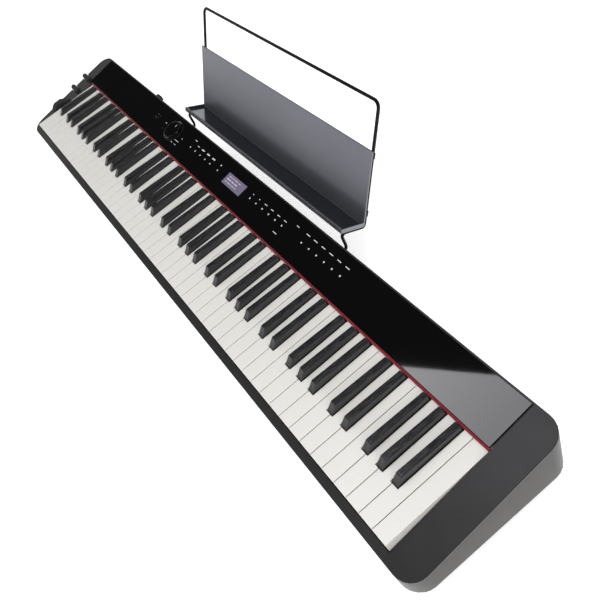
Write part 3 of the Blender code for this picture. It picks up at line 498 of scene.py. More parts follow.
class Finishes:
    """Every material of the piano, made once and looked up by its plain name."""

    RECIPES = (
        Finish("case_satin", (0.012, 0.0112, 0.0125), (0.019, 0.018, 0.0205), 0.36, grain=1500.0,
               dust=0.03),
        Finish("wall_satin", (0.012, 0.0105, 0.0085), (0.020, 0.0175, 0.0145), 0.34, grain=1500.0,
               dust=0.02, specular=0.19),
        Finish("gloss_black", (0.0015, 0.0015, 0.0018), (0.003, 0.003, 0.0035), 0.035, handled=0.02,
               grain=300.0, depth=0.0000005, coat=0.3, dust=0.002),
        Finish("tray_gloss", (0.200, 0.205, 0.225), (0.225, 0.230, 0.250), 0.16, metallic=0.95,
               handled=0.02, grain=500.0, depth=0.000001, dust=0.002),
        Finish("ivory_key", (0.69, 0.675, 0.64), (0.73, 0.715, 0.685), 0.34, handled=0.10, grain=2600.0,
               depth=0.00003, dust=0.0),
        Finish("ebony_key", (0.009, 0.009, 0.0105), (0.036, 0.036, 0.040), 0.22, grain=2200.0,
               depth=0.00006, dust=0.01, pattern=Pattern.STREAKED, specular=0.55),
        Finish("crimson_felt", (0.11, 0.003, 0.008), (0.30, 0.010, 0.022), 0.95, pattern=Pattern.FELTED,
               depth=0.0004, sheen=0.15, dust=0.0),
        Finish("grey_felt", (0.12, 0.12, 0.13), (0.22, 0.22, 0.23), 0.95, pattern=Pattern.FELTED,
               depth=0.0004, sheen=0.3),
        Finish("drawn_steel", (0.50, 0.50, 0.51), (0.60, 0.60, 0.61), 0.30, metallic=1.0,
               pattern=Pattern.BRUSHED),
        Finish("chassis_grey", (0.22, 0.23, 0.24), (0.30, 0.31, 0.32), 0.55, grain=900.0,
               depth=0.00004),
        Finish("stamped_weight", (0.40, 0.40, 0.41), (0.52, 0.52, 0.53), 0.38, metallic=0.9,
               pattern=Pattern.BRUSHED),
        Finish("circuit_board", (0.010, 0.090, 0.035), (0.020, 0.150, 0.060), 0.40,
               pattern=Pattern.CIRCUIT, coat=0.3),
        Finish("soft_rubber", (0.016, 0.016, 0.017), (0.028, 0.028, 0.029), 0.80, grain=1100.0,
               depth=0.00006, specular=0.3),
        Finish("ribbed_plastic", (0.018, 0.018, 0.019), (0.030, 0.030, 0.032), 0.55,
               pattern=Pattern.RIBBED, depth=0.0003),
        Finish("speaker_cone", (0.030, 0.030, 0.032), (0.050, 0.050, 0.052), 0.75, grain=700.0,
               depth=0.0002),
        Finish("rest_satin", (0.165, 0.171, 0.198), (0.195, 0.201, 0.228), 0.32, metallic=0.76,
               handled=0.05, grain=1900.0, depth=0.000006, dust=0.004),
        Finish("wire_black", (0.003, 0.003, 0.003), (0.006, 0.006, 0.006), 0.30, grain=800.0, dust=0.01,
               specular=0.15),
        Finish("nickel_ring", (0.62, 0.60, 0.57), (0.70, 0.68, 0.65), 0.22, metallic=1.0,
               pattern=Pattern.BRUSHED),
        # pale_ink, and very faintly dim_ink, glow. On the printed marks, dial index and rings this is a
        # painted glow.
        GlowFinish("pale_ink", (0.62, 0.62, 0.66), 0.12),
        GlowFinish("dim_ink", (0.05, 0.05, 0.055), 0.01),
        DisplayFinish("display_glow", (0.10, 0.085, 0.13), (0.16, 0.14, 0.205), 0.62),
        GlowFinish("display_text", (0.36, 0.34, 0.42), 0.62),
    )

    def __init__(self) -> None:
        """Build every recipe."""
        effects = Effects()
        self.made = {recipe.name: recipe.build(effects) for recipe in self.RECIPES}

    def __getitem__(self, name: str) -> bpy.types.Material:
        """Look a material up by its plain name."""
        return self.made[name]


# --- Bench: modelling by operators ------------------------------------------------------------------
@contextmanager
def edit_mode() -> Iterator[None]:
    """Hold the active object in edit mode."""
    bpy.ops.object.mode_set(mode="EDIT")
    yield
    bpy.ops.object.mode_set(mode="OBJECT")


def extrude(x: float = 0.0, y: float = 0.0, z: float = 0.0) -> None:
    """Draw the selection out by a run in millimetres."""
    bpy.ops.mesh.extrude_region_move(TRANSFORM_OT_translate={"value": (x * MM, y * MM, z * MM)})


def cut(place: Place, across: Place) -> None:
    """Cut the whole mesh by a plane through a place in millimetres, square to a direction."""
    bpy.ops.mesh.select_all(action="SELECT")
    bpy.ops.mesh.bisect(plane_co=[share * MM for share in place], plane_no=across)


class Bench:
    """Modelling by hand, in code: primitives shaped in edit mode, then finished and hung on a body."""

    def __init__(self, layout: Layout, finishes: Finishes) -> None:
        """Keep the layout and the materials."""
        self.layout = layout
        self.finishes = finishes

    @staticmethod
    def clear_selection() -> None:
        """Leave edit mode and select nothing."""
        if bpy.context.object and bpy.context.object.mode != "OBJECT":
            bpy.ops.object.mode_set(mode="OBJECT")
        bpy.ops.object.select_all(action="DESELECT")

    def pick(self, piece: bpy.types.Object) -> None:
        """Make one object the active and only selected one."""
        self.clear_selection()
        piece.select_set(True)
        bpy.context.view_layer.objects.active = piece

    def slab(self, centre: Place, size: Place, tilt: float = 0.0) -> bpy.types.Object:
        """Start from a cube of a size in millimetres about a centre in metres."""
        self.clear_selection()
        bpy.ops.mesh.primitive_cube_add(size=1.0, location=centre, rotation=(tilt, 0.0, 0.0))
        piece = bpy.context.object
        piece.scale = [edge * MM for edge in size]
        bpy.ops.object.transform_apply(location=False, rotation=False, scale=True)
        return piece

    def disc(self, centre: Place, radius: float, depth: float, turn: float = 0.0,
             steps: int = 32) -> bpy.types.Object:
        """Start from a round disc of a size in millimetres about a centre in metres."""
        self.clear_selection()
        bpy.ops.mesh.primitive_cylinder_add(vertices=steps, radius=radius * MM, depth=depth * MM,
                                            location=centre, rotation=(0.0, turn, 0.0))
        return bpy.context.object

    def ring(self, centre: Place, radius: float, thickness: float, tilt: float = 0.0,
             steps: int = 48) -> bpy.types.Object:
        """Make a smooth torus of a size in millimetres about a centre in metres."""
        self.clear_selection()
        bpy.ops.mesh.primitive_torus_add(major_radius=radius * MM, minor_radius=thickness * MM,
                                         major_segments=steps, minor_segments=8, location=centre,
                                         rotation=(tilt, 0.0, 0.0))
        bpy.ops.object.shade_smooth()
        return bpy.context.object

    @staticmethod
    def copy(blank: bpy.types.Object, place: Place, turn: float = 0.0) -> bpy.types.Object:
        """Copy a blank with a mesh of its own to a place in metres, turned about X."""
        piece = bpy.data.objects.new(blank.name, blank.data.copy())
        bpy.context.scene.collection.objects.link(piece)
        piece.location = place
        piece.rotation_euler.x = turn
        return piece

    def spread(self, blank: bpy.types.Object,
               spots: Iterable[tuple[Vector, float]]) -> list[bpy.types.Object]:
        """Put copies of a blank at its spots, and take the blank away.

        Args:
            blank: The blank, modelled about the origin.
            spots: Each copy's place in metres and its turn about X.

        Returns:
            The copies.
        """
        copies = [self.copy(blank, place, turn) for place, turn in spots]
        bpy.data.objects.remove(blank, do_unlink=True)
        return copies

    @staticmethod
    def choose(piece: bpy.types.Object, mode: str, wanted: Callable[[Vector, Vector], bool]) -> None:
        """Select faces or edges in edit mode by place and direction.

        Args:
            piece: The object in edit mode.
            mode: FACE or EDGE.
            wanted: Told each element's middle and its normal or direction, says if it is selected.
        """
        bpy.ops.mesh.select_all(action="DESELECT")
        bpy.ops.mesh.select_mode(type=mode)
        mesh = bmesh.from_edit_mesh(piece.data)
        if mode == "FACE":
            for face in mesh.faces:
                face.select_set(wanted(face.calc_center_median(), face.normal))
        else:
            for edge in mesh.edges:
                first, second = edge.verts
                edge.select_set(wanted((first.co + second.co) / 2, (second.co - first.co).normalized()))
        bmesh.update_edit_mesh(piece.data)

    def soften(self, piece: bpy.types.Object, width: float, segments: int = 2,
               angle: float = 30.0) -> None:
        """Round the sharp edges by a width in millimetres and shade smooth."""
        self.pick(piece)
        bevel = piece.modifiers.new("softened edges", "BEVEL")
        bevel.width = width * MM
        bevel.segments = segments
        bevel.limit_method = "ANGLE"
        bevel.angle_limit = math.radians(angle)
        bpy.ops.object.modifier_apply(modifier=bevel.name)
        bpy.ops.object.shade_smooth_by_angle(angle=SMOOTH_ANGLE)
        flatten = piece.modifiers.new("flat faces", "WEIGHTED_NORMAL")
        flatten.weight = 100
        flatten.keep_sharp = True
        bpy.ops.object.modifier_apply(modifier=flatten.name)

    def fuse(self, pieces: list[bpy.types.Object]) -> bpy.types.Object:
        """Join several meshes into the first."""
        self.clear_selection()
        bpy.context.view_layer.update()
        for piece in pieces:
            piece.select_set(True)
        bpy.context.view_layer.objects.active = pieces[0]
        if len(pieces) > 1:
            bpy.ops.object.join()
        return pieces[0]

    def finish(self, piece: bpy.types.Object, name: str, body: str, finish: str,
               slot: Optional[str] = None) -> bpy.types.Object:
        """Settle a piece's place into its mesh, name it, dress it and hang it on its body.

        Args:
            piece: The modelled object.
            name: The name it gets.
            body: The moving body it rides on.
            finish: Name of its material.
            slot: The record's slot that it belongs to; not used.

        Returns:
            The piece.
        """
        self.pick(piece)
        bpy.ops.object.transform_apply(location=True, rotation=True, scale=True)
        piece.name = name
        piece.data.name = name
        piece.data.materials.clear()
        piece.data.materials.append(self.finishes[finish])
        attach(piece, body)
        LOG.info("%s on %s", name, body)
        return piece

    def refine(self, node: bpy.types.Object, body: str, finish: str, width: float, slot: str,
               segments: int = 2) -> bpy.types.Object:
        """Stand a softened copy in for a frame node.

        Args:
            node: The frame node.
            body: The body it belongs to.
            finish: Name of the material.
            width: Edge rounding in millimetres.
            slot: The record's slot; passed on but not used.
            segments: Steps of the rounding.

        Returns:
            The softened piece.
        """
        piece = bpy.data.objects.new(node.name + "_soft", node.data.copy())
        bpy.context.scene.collection.objects.link(piece)
        self.pick(piece)
        with edit_mode():
            bpy.ops.mesh.select_all(action="SELECT")
            bpy.ops.mesh.remove_doubles(threshold=NEAR)
            bpy.ops.mesh.dissolve_limited(angle_limit=FLAT_ANGLE)
        self.soften(piece, width, segments)
        self.finish(piece, node.name + "_finished", body, finish, slot)
        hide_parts(node.name)
        return piece


# --- Sub-assemblies ---------------------------------------------------------------------------------
@dataclass
class Keyboard:
    """The 88 keys, each a piece of its own."""

    pitch: float = 23.5
    gap: float = 1.0
    white_front: float = 49.0
    white_length: float = 149.0
    white_depth: float = 19.5
    lever_end: float = 187.0
    lever_z: tuple[float, float] = (-11.5, -4.5)
    post_y: tuple[float, float] = (56.5, 62.5)
    post_foot: float = -29.5
    black_width: float = 11.2
    black_front: float = 50.0
    black_end: float = 145.5
    black_skirt: float = 13.5
    black_height: float = 11.3
    black_end_height: float = 7.4
    black_run: float = 9.6
    black_taper: float = 0.9
    black_edge: float = 1.1
    black_edge_angle: float = 40.0
    least_notch: float = 1.0
    edge: float = 0.75
    offsets: dict[int, float] = field(
        default_factory=lambda: {1: -2.2, 3: 2.2, 6: -3.3, 8: 0.0, 10: 3.3})
    note_names: tuple[str, ...] = ("c", "cs", "d", "ds", "e", "f", "fs", "g", "gs", "a", "as", "b")
    first_note: int = 9
    count: int = 88
    combs: tuple[tuple[int, str], ...] = ((2, "a0_b1"), (4, "c2_b3"), (7, "c5_b6"), (9, "c7_c8"))

    def build(self, bench: Bench, frame: dict) -> None:
        """Model every key shape once and copy it to its places."""
        shapes: dict[tuple[float, float], bpy.types.Object] = {}
        black = self._black_shape(bench)
        replaced: dict[str, list[bpy.types.Object]] = {}
        for key in range(self.count):
            body = self._body(key)
            low, high = self._slot(key)
            if self._is_black(key):
                blank, left = black, low
            else:
                left = self._left(key) + self.gap / 2
                cuts = (round(low - left, 3), round(left + self.pitch - self.gap - high, 3))
                if cuts not in shapes:
                    shapes[cuts] = self._white_shape(bench, *cuts)
                blank = shapes[cuts]
            piece = bench.copy(blank, bench.layout.at(left, 0.0, 0.0))
            name = "key_%02d_%s" % (key + 1, self._note(key))
            finish, slot = ("ivory_key", "white_key")
            if self._is_black(key):
                finish, slot = ("ebony_key", "black_key")
            bench.finish(piece, name, body, finish, slot)
            replaced.setdefault(body, []).append(piece)
        for blank in [black, *shapes.values()]:
            bpy.data.objects.remove(blank, do_unlink=True)
        for body, pieces in replaced.items():
            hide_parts(body)

    def _note(self, key: int) -> str:
        """Name of a note, such as fs4."""
        return "%s%d" % (self.note_names[(key + self.first_note) % 12], (key + self.first_note) // 12)

    def _is_black(self, key: int) -> bool:
        """True for a sharp."""
        return (key + self.first_note) % 12 in self.offsets

    def _left(self, key: int) -> float:
        """Left edge of a white key's share of the keyboard."""
        whites = [k for k in range(self.count) if not self._is_black(k)]
        return whites.index(key) * self.pitch - len(whites) * self.pitch / 2

    def _slot(self, key: int) -> tuple[float, float]:
        """Low and high X of a key behind the fronts of the black keys."""
        if self._is_black(key):
            middle = self._left(key + 1) + self.offsets[(key + self.first_note) % 12]
            return middle - self.black_width / 2, middle + self.black_width / 2
        low = self._left(key) + self.gap / 2
        high = self._left(key) + self.pitch - self.gap / 2
        if key > 0 and self._is_black(key - 1):
            low = self._slot(key - 1)[1] + self.gap
        if key < self.count - 1 and self._is_black(key + 1):
            high = self._slot(key + 1)[0] - self.gap
        return low, high

    def _body(self, key: int) -> str:
        """The moving body that carries a key."""
        octave = (key + self.first_note) // 12
        if octave == 4:
            return "key_" + self._note(key)
        span = next(name for end, name in self.combs if octave < end)
        return ("black_keys_" if self._is_black(key) else "white_keys_") + span

    def _white_shape(self, bench: Bench, cut_left: float, cut_right: float) -> bpy.types.Object:
        """Model a white key with its notches: a plate drawn in plan, given its depth, lever and post.

        Args:
            bench: The modelling bench.
            cut_left: Width that the left notch takes.
            cut_right: Width that the right notch takes.

        Returns:
            The blank, with its front left corner at the origin.
        """
        width = self.pitch - self.gap
        bench.clear_selection()
        middle = (width / 2 * MM, self.white_front / 2 * MM, 0.0)
        bpy.ops.mesh.primitive_plane_add(size=1.0, location=middle)
        piece = bpy.context.object
        piece.scale = (width * MM, self.white_front * MM, 1.0)
        bpy.ops.object.transform_apply(location=True, rotation=False, scale=True)
        low, high = cut_left, width - cut_right
        with edit_mode():
            for place in (low, high):
                if self.least_notch < place < width - self.least_notch:
                    cut((place, 0.0, 0.0), (1.0, 0.0, 0.0))
            bench.choose(piece, "EDGE", lambda mid, run: abs(mid.y - self.white_front * MM) < NEAR
                         and low * MM < mid.x < high * MM)
            extrude(y=self.white_length - self.white_front)
            bpy.ops.mesh.select_all(action="SELECT")
            extrude(z=-self.white_depth)
            bpy.ops.mesh.select_all(action="SELECT")
            bpy.ops.mesh.normals_make_consistent(inside=False)
            self._add_lever(bench, piece, self.white_length)
        bench.soften(piece, self.edge, 3)
        return piece

    def _add_lever(self, bench: Bench, piece: bpy.types.Object, rear: float) -> None:
        """Draw the inner lever out of the rear face and the hammer post out of the underside."""
        for level in self.lever_z:
            cut((0.0, 0.0, level), (0.0, 0.0, 1.0))
        for place in self.post_y:
            cut((0.0, place, 0.0), (0.0, 1.0, 0.0))
        low, high = self.lever_z
        bench.choose(piece, "FACE", lambda mid, out: out.y > FACING and abs(mid.y - rear * MM) < NEAR
                     and low * MM < mid.z < high * MM)
        extrude(y=self.lever_end - rear)
        front, back = self.post_y
        floor = min(vertex.co.z for vertex in bmesh.from_edit_mesh(piece.data).verts)
        bench.choose(piece, "FACE", lambda mid, out: out.z < -FACING and front * MM < mid.y < back * MM)
        extrude(z=self.post_foot - floor / MM)

    def _black_shape(self, bench: Bench) -> bpy.types.Object:
        """Model a black key: a skirt, drawn up to a narrowed top with a sloping front.

        Returns:
            The blank, with its left side at X = 0.
        """
        length = self.black_end - self.black_front
        middle = self.black_width / 2
        centre = Vector((middle, self.black_front + length / 2, -self.black_skirt / 2)) * MM
        piece = bench.slab(centre, (self.black_width, length, self.black_skirt))
        bpy.ops.object.transform_apply(location=True, rotation=True, scale=True)
        top, front, rear = self.black_height * MM, self.black_front * MM, self.black_end * MM
        narrow = 1.0 - self.black_taper / middle
        drop = self.black_height - self.black_end_height
        with edit_mode():
            bench.choose(piece, "FACE", lambda mid, out: out.z > FACING)
            extrude(z=self.black_height)
            bpy.ops.transform.resize(value=(narrow, 1.0, 1.0), center_override=(middle * MM, 0.0, 0.0))
            bench.choose(piece, "EDGE",
                         lambda mid, run: mid.z > top * FACING and abs(mid.y - front) < NEAR)
            bpy.ops.transform.translate(value=(0.0, self.black_run * MM, 0.0))
            bench.choose(piece, "EDGE",
                         lambda mid, run: mid.z > top * FACING and abs(mid.y - rear) < NEAR)
            bpy.ops.transform.translate(value=(0.0, 0.0, -drop * MM))
            self._add_lever(bench, piece, self.black_end)
        bench.soften(piece, self.black_edge, 3, self.black_edge_angle)
        return piece


@dataclass
class Casing:
    """The two shells of the body, the felt strip, the feet, the hatch and the screws."""

    shell_edge: float = 0.35
    deck_edge: float = 0.3
    felt_edge: float = 0.7
    foot_edge: float = 0.6
    hatch_edge: float = 0.4
    bottom: float = -80.0
    ridge_size: Place = (2.0, 12.0, 0.9)
    ridge_edge: float = 0.35
    ridge_drop: float = 0.35
    ridge_pitch: float = 5.0
    ridge_count: int = 7
    ridge_y: float = 128.0
    screw_radius: float = 4.0
    screw_columns: tuple[float, ...] = (-480.0, -240.0, 0.0, 240.0, 480.0)
    screw_rows: tuple[float, ...] = (12.0, 190.0)
    screw_rim: float = 1.6
    screw_recess: float = 0.5
    screw_depth: float = 1.0
    screw_drop: float = 0.1
    screw_edge: float = 0.2

    def build(self, bench: Bench, frame: dict) -> None:
        """Dress the shells and add what is fixed to them."""
        nodes = frame["nodes"]
        bench.refine(nodes["lower_case"], "piano", "wall_satin", self.shell_edge, "case")
        bench.refine(nodes["upper_case"], "piano", "case_satin", self.deck_edge, "case")
        bench.refine(nodes["key_felt_strip"], "piano", "crimson_felt", self.felt_edge, "felt", 3)
        for name in ("foot_front_left", "foot_front_right", "foot_rear_left", "foot_rear_right"):
            bench.refine(nodes[name], "piano", "soft_rubber", self.foot_edge, "rubber", 3)
        bench.refine(nodes["battery_cover"], "battery_cover", "wall_satin", self.hatch_edge, "case")
        self._hatch_grip(bench)
        self._screws(bench)

    def _hatch_grip(self, bench: Bench) -> None:
        """Raised finger ridges on the hatch cover, side by side."""
        ridge = bench.slab(ORIGIN, self.ridge_size)
        bench.soften(ridge, self.ridge_edge)
        first = -(self.ridge_count - 1) / 2 * self.ridge_pitch
        level = self.bottom - self.ridge_drop
        spots = [(bench.layout.at(first + index * self.ridge_pitch, self.ridge_y, level), 0.0)
                 for index in range(self.ridge_count)]
        ridges = bench.fuse(bench.spread(ridge, spots))
        bench.finish(ridges, "hatch_grip_ridges", "battery_cover", "wall_satin", "case")

    def _screws(self, bench: Bench) -> None:
        """Screw heads along the underside, each with a sunk middle."""
        head = bench.disc(ORIGIN, self.screw_radius, self.screw_depth, steps=24)
        with edit_mode():
            bench.choose(head, "FACE", lambda mid, out: out.z < -FACING)
            bpy.ops.mesh.inset(thickness=self.screw_rim * MM)
            extrude(z=self.screw_recess)
        bench.soften(head, self.screw_edge)
        spots = [(bench.layout.at(x, y, self.bottom - self.screw_drop), 0.0)
                 for x in self.screw_columns for y in self.screw_rows]
        heads = bench.fuse(bench.spread(head, spots))
        bench.finish(heads, "underside_screws", "piano", "drawn_steel", "steel")


@dataclass(frozen=True)
class MarkRow:
    """A row of like marks on the gloss panel."""

    start: float
    y: float
    pitch: float
    count: int
    width: float = 0.0
    depth: float = 0.0
    bright: bool = True

    def spots(self, bench: Bench, lift: float = 0.0) -> list[tuple[Vector, float]]:
        """Places of the row's marks on the deck, each with the deck's tilt."""
        return [(bench.layout.on_deck(self.start + index * self.pitch, self.y, lift), DECK_TILT)
                for index in range(self.count)]


@dataclass
class ControlPanel:
    """The gloss panel with its touch points, printed marks, display, volume dial and power button."""

    mark_height: float = 0.12
    dot_radius: float = 1.5
    touch_rows: tuple[MarkRow, ...] = (
        MarkRow(-168.4, 184.2, 19.1, 5), MarkRow(-63.7, 184.2, 19.1, 1),
        MarkRow(48.0, 184.2, 19.3, 6), MarkRow(198.9, 184.2, 19.3, 6))
    label_rows: tuple[MarkRow, ...] = (
        MarkRow(-168.0, 199.7, 19.0, 1, 8.0, 1.2), MarkRow(-150.5, 194.4, 19.0, 1, 7.0, 1.2),
        MarkRow(-132.9, 194.4, 20.0, 3, 9.5, 2.6), MarkRow(-65.5, 194.6, 19.0, 1, 3.0, 2.6),
        MarkRow(48.2, 192.8, 19.0, 2, 3.0, 1.4), MarkRow(86.6, 192.8, 19.1, 4, 7.5, 1.3),
        MarkRow(144.5, 169.3, 19.0, 1, 10.0, 1.2), MarkRow(171.0, 199.1, 19.0, 1, 7.0, 1.2),
        MarkRow(198.5, 199.1, 19.3, 6, 9.0, 1.4), MarkRow(-223.5, 168.6, 13.5, 2, 6.0, 1.1),
        MarkRow(-213.5, 176.0, 10.0, 1, 13.0, 1.3), MarkRow(-205.0, 185.3, 10.0, 1, 4.0, 1.2),
        MarkRow(-281.0, 189.0, 10.0, 1, 4.0, 1.6), MarkRow(-326.6, 185.0, 10.0, 1, 1.6, 1.6, False),
        MarkRow(-313.9, 192.0, 10.0, 1, 1.6, 1.6, False),
        MarkRow(-278.0, 177.0, 10.0, 1, 3.0, 1.2, False))
    display_x: tuple[float, float] = (-35.0, 23.5)
    display_y: tuple[float, float] = (174.3, 195.5)
    dial: tuple[float, float] = (-243.5, 186.5)
    dial_radius: float = 20.5
    dial_top: float = 5.3
    power: tuple[float, float] = (-320.0, 188.5)
    panel_edge: float = 0.35
    dial_edge: float = 0.3
    power_edge: float = 0.2
    mark_edge: float = 0.03
    display_lines: tuple[tuple[float, tuple[float, ...]], ...] = (
        (1.5, (8.0, 5.0, 11.0, 6.0)), (2.4, (12.0, 7.0, 9.0)), (1.5, (6.0, 10.0, 7.0, 5.0)))
    display_margin: tuple[float, float] = (6.0, 5.0)
    window_gap: float = 0.4
    window_thickness: float = 0.16
    window_rim: float = 0.8
    window_sink: float = 0.04
    segment_thickness: float = 0.06
    segment_lift: float = 0.09
    segment_edge: float = 0.02
    touch_lift: float = 0.02
    display_line_pitch: float = 5.4
    segment_gap: float = 2.4
    index_size: Place = (1.0, 5.0, 0.3)
    index_reach: float = 9.5
    index_edge: float = 0.1
    dial_ring_inset: float = 3.2
    dial_ring_wire: float = 0.45
    dial_foot_gap: float = 1.1
    dial_foot_wire: float = 0.35
    power_ring: tuple[float, float] = (5.2, 0.25)

    def build(self, bench: Bench, frame: dict) -> None:
        """Dress the panel and lay its marks and controls on it."""
        nodes = frame["nodes"]
        bench.refine(nodes["top_panel"], "piano", "gloss_black", self.panel_edge, "gloss", 3)
        self._touch_points(bench)
        self._labels(bench)
        self._display(bench)
        bench.refine(nodes["volume_dial"], "volume_dial", "gloss_black", self.dial_edge, "gloss")
        self._dial_trim(bench)
        bench.refine(nodes["power_button"], "power_button", "gloss_black", self.power_edge, "gloss")
        self._power_trim(bench)

    def _touch_points(self, bench: Bench) -> None:
        """Small lit discs, one per touch point."""
        for group, row in enumerate(self.touch_rows):
            disc = bench.disc(ORIGIN, self.dot_radius, self.mark_height, steps=20)
            bench.soften(disc, self.mark_edge, 1)
            discs = bench.fuse(bench.spread(disc, row.spots(bench, self.touch_lift)))
            bench.finish(discs, "touch_points_%d" % (group + 1), "piano", "pale_ink", "gloss")

    def _labels(self, bench: Bench) -> None:
        """Plain bars and blocks where a maker prints names."""
        # Both inks carry a faint emission, which is a painted glow on these printed bars.
        for bright, finish in ((True, "pale_ink"), (False, "dim_ink")):
            bars = []
            for row in self.label_rows:
                if row.bright is bright:
                    bar = bench.slab(ORIGIN, (row.width, row.depth, self.mark_height))
                    bench.soften(bar, self.mark_edge, 1)
                    bars += bench.spread(bar, row.spots(bench))
            bench.finish(bench.fuse(bars), "printed_marks_" + finish, "piano", finish, "gloss")

    def _display(self, bench: Bench) -> None:
        """Backlit field in a thin sunk window, with generic rows of segments on it."""
        x, y = sum(self.display_x) / 2, sum(self.display_y) / 2
        width, depth = self.display_x[1] - self.display_x[0], self.display_y[1] - self.display_y[0]
        size = (width - self.window_gap, depth - self.window_gap, self.window_thickness)
        pane = bench.slab(bench.layout.on_deck(x, y), size, DECK_TILT)
        with edit_mode():
            bench.choose(pane, "FACE", lambda mid, out: out.z > FACING)
            bpy.ops.mesh.inset(thickness=self.window_rim * MM)
            extrude(z=-self.window_sink)
        bench.soften(pane, self.mark_edge, 1)
        bench.finish(pane, "display_field", "piano", "display_glow", "lcd")
        segments = []
        for line, (height, lengths) in enumerate(self.display_lines):
            start = self.display_x[0] + self.display_margin[0]
            level = self.display_y[1] - self.display_margin[1] - line * self.display_line_pitch
            for length in lengths:
                centre = bench.layout.on_deck(start + length / 2, level, self.segment_lift)
                segment = bench.slab(centre, (length, height, self.segment_thickness), DECK_TILT)
                bench.soften(segment, self.segment_edge, 1)
                segments.append(segment)
                start += length + self.segment_gap
        bench.finish(bench.fuse(segments), "display_segments", "piano", "display_text", "lcd")

    def _dial_trim(self, bench: Bench) -> None:
        """Raised ring and index line on the dial's top, and a dim ring around its foot."""
        x, y = self.dial
        top = bench.layout.on_deck(x, y, self.dial_top - 0.1)
        ring = bench.ring(top, self.dial_radius - self.dial_ring_inset, self.dial_ring_wire, DECK_TILT)
        bench.finish(ring, "dial_ring", "volume_dial", "gloss_black", "gloss")
        # The dim surround ring and the pale index line carry the inks' faint painted glow.
        foot = bench.layout.on_deck(x, y, 0.15)
        base = bench.ring(foot, self.dial_radius + self.dial_foot_gap, self.dial_foot_wire, DECK_TILT)
        bench.finish(base, "dial_surround", "piano", "dim_ink", "gloss")
        place = bench.layout.on_deck(x, y + self.index_reach, self.dial_top - 0.75)
        index = bench.slab(place, self.index_size, DECK_TILT)
        bench.soften(index, self.index_edge, 1)
        bench.finish(index, "dial_index", "volume_dial", "pale_ink", "gloss")

    def _power_trim(self, bench: Bench) -> None:
        """Thin ring around the power button."""
        place = bench.layout.on_deck(*self.power, 0.05)
        ring = bench.ring(place, *self.power_ring, DECK_TILT, 32)
        bench.finish(ring, "power_ring", "piano", "dim_ink", "gloss")


@dataclass
class SideControls:
    """The pitch wheel and the two side knobs on the left end block."""

    knob_ys: tuple[float, float] = (150.2, 114.8)
    knob_drop: float = 1.0
    knob_radius: float = 5.6
    rib_count: int = 14
    rib_x: tuple[float, float] = (-662.6, -650.0)
    rib_side: float = 0.9
    rib_sink: float = 0.25
    rib_edge: float = 0.2
    wheel_edge: float = 0.8
    knob_edge: float = 0.3

    def build(self, bench: Bench, frame: dict) -> None:
        """Dress the wheel and the knobs and rib their grips."""
        nodes = frame["nodes"]
        bench.refine(nodes["pitch_wheel"], "pitch_wheel", "soft_rubber", self.wheel_edge, "rubber", 3)
        for name, y in zip(("control_knob_rear", "control_knob_front"), self.knob_ys):
            bench.refine(nodes[name], name, "soft_rubber", self.knob_edge, "knob")
            self._ribs(bench, name, y)

    def _ribs(self, bench: Bench, name: str, y: float) -> None:
        """Fine ribs round a knob's head."""
        axis = DECK_HEIGHT_AT_FRONT + DECK_SLOPE * y - self.knob_drop
        reach = self.knob_radius - self.rib_sink
        rib = bench.slab(ORIGIN, (self.rib_x[1] - self.rib_x[0], self.rib_side, self.rib_side))
        bench.soften(rib, self.rib_edge, 1)
        spots = []
        for index in range(self.rib_count):
            angle = 2 * math.pi * index / self.rib_count
            centre = bench.layout.at(sum(self.rib_x) / 2, y + reach * math.cos(angle),
                                     axis + reach * math.sin(angle))
            spots.append((centre, angle + math.pi / 4))
        ribs = bench.fuse(bench.spread(rib, spots))
        bench.finish(ribs, name + "_ribs", name, "ribbed_plastic", "knob")


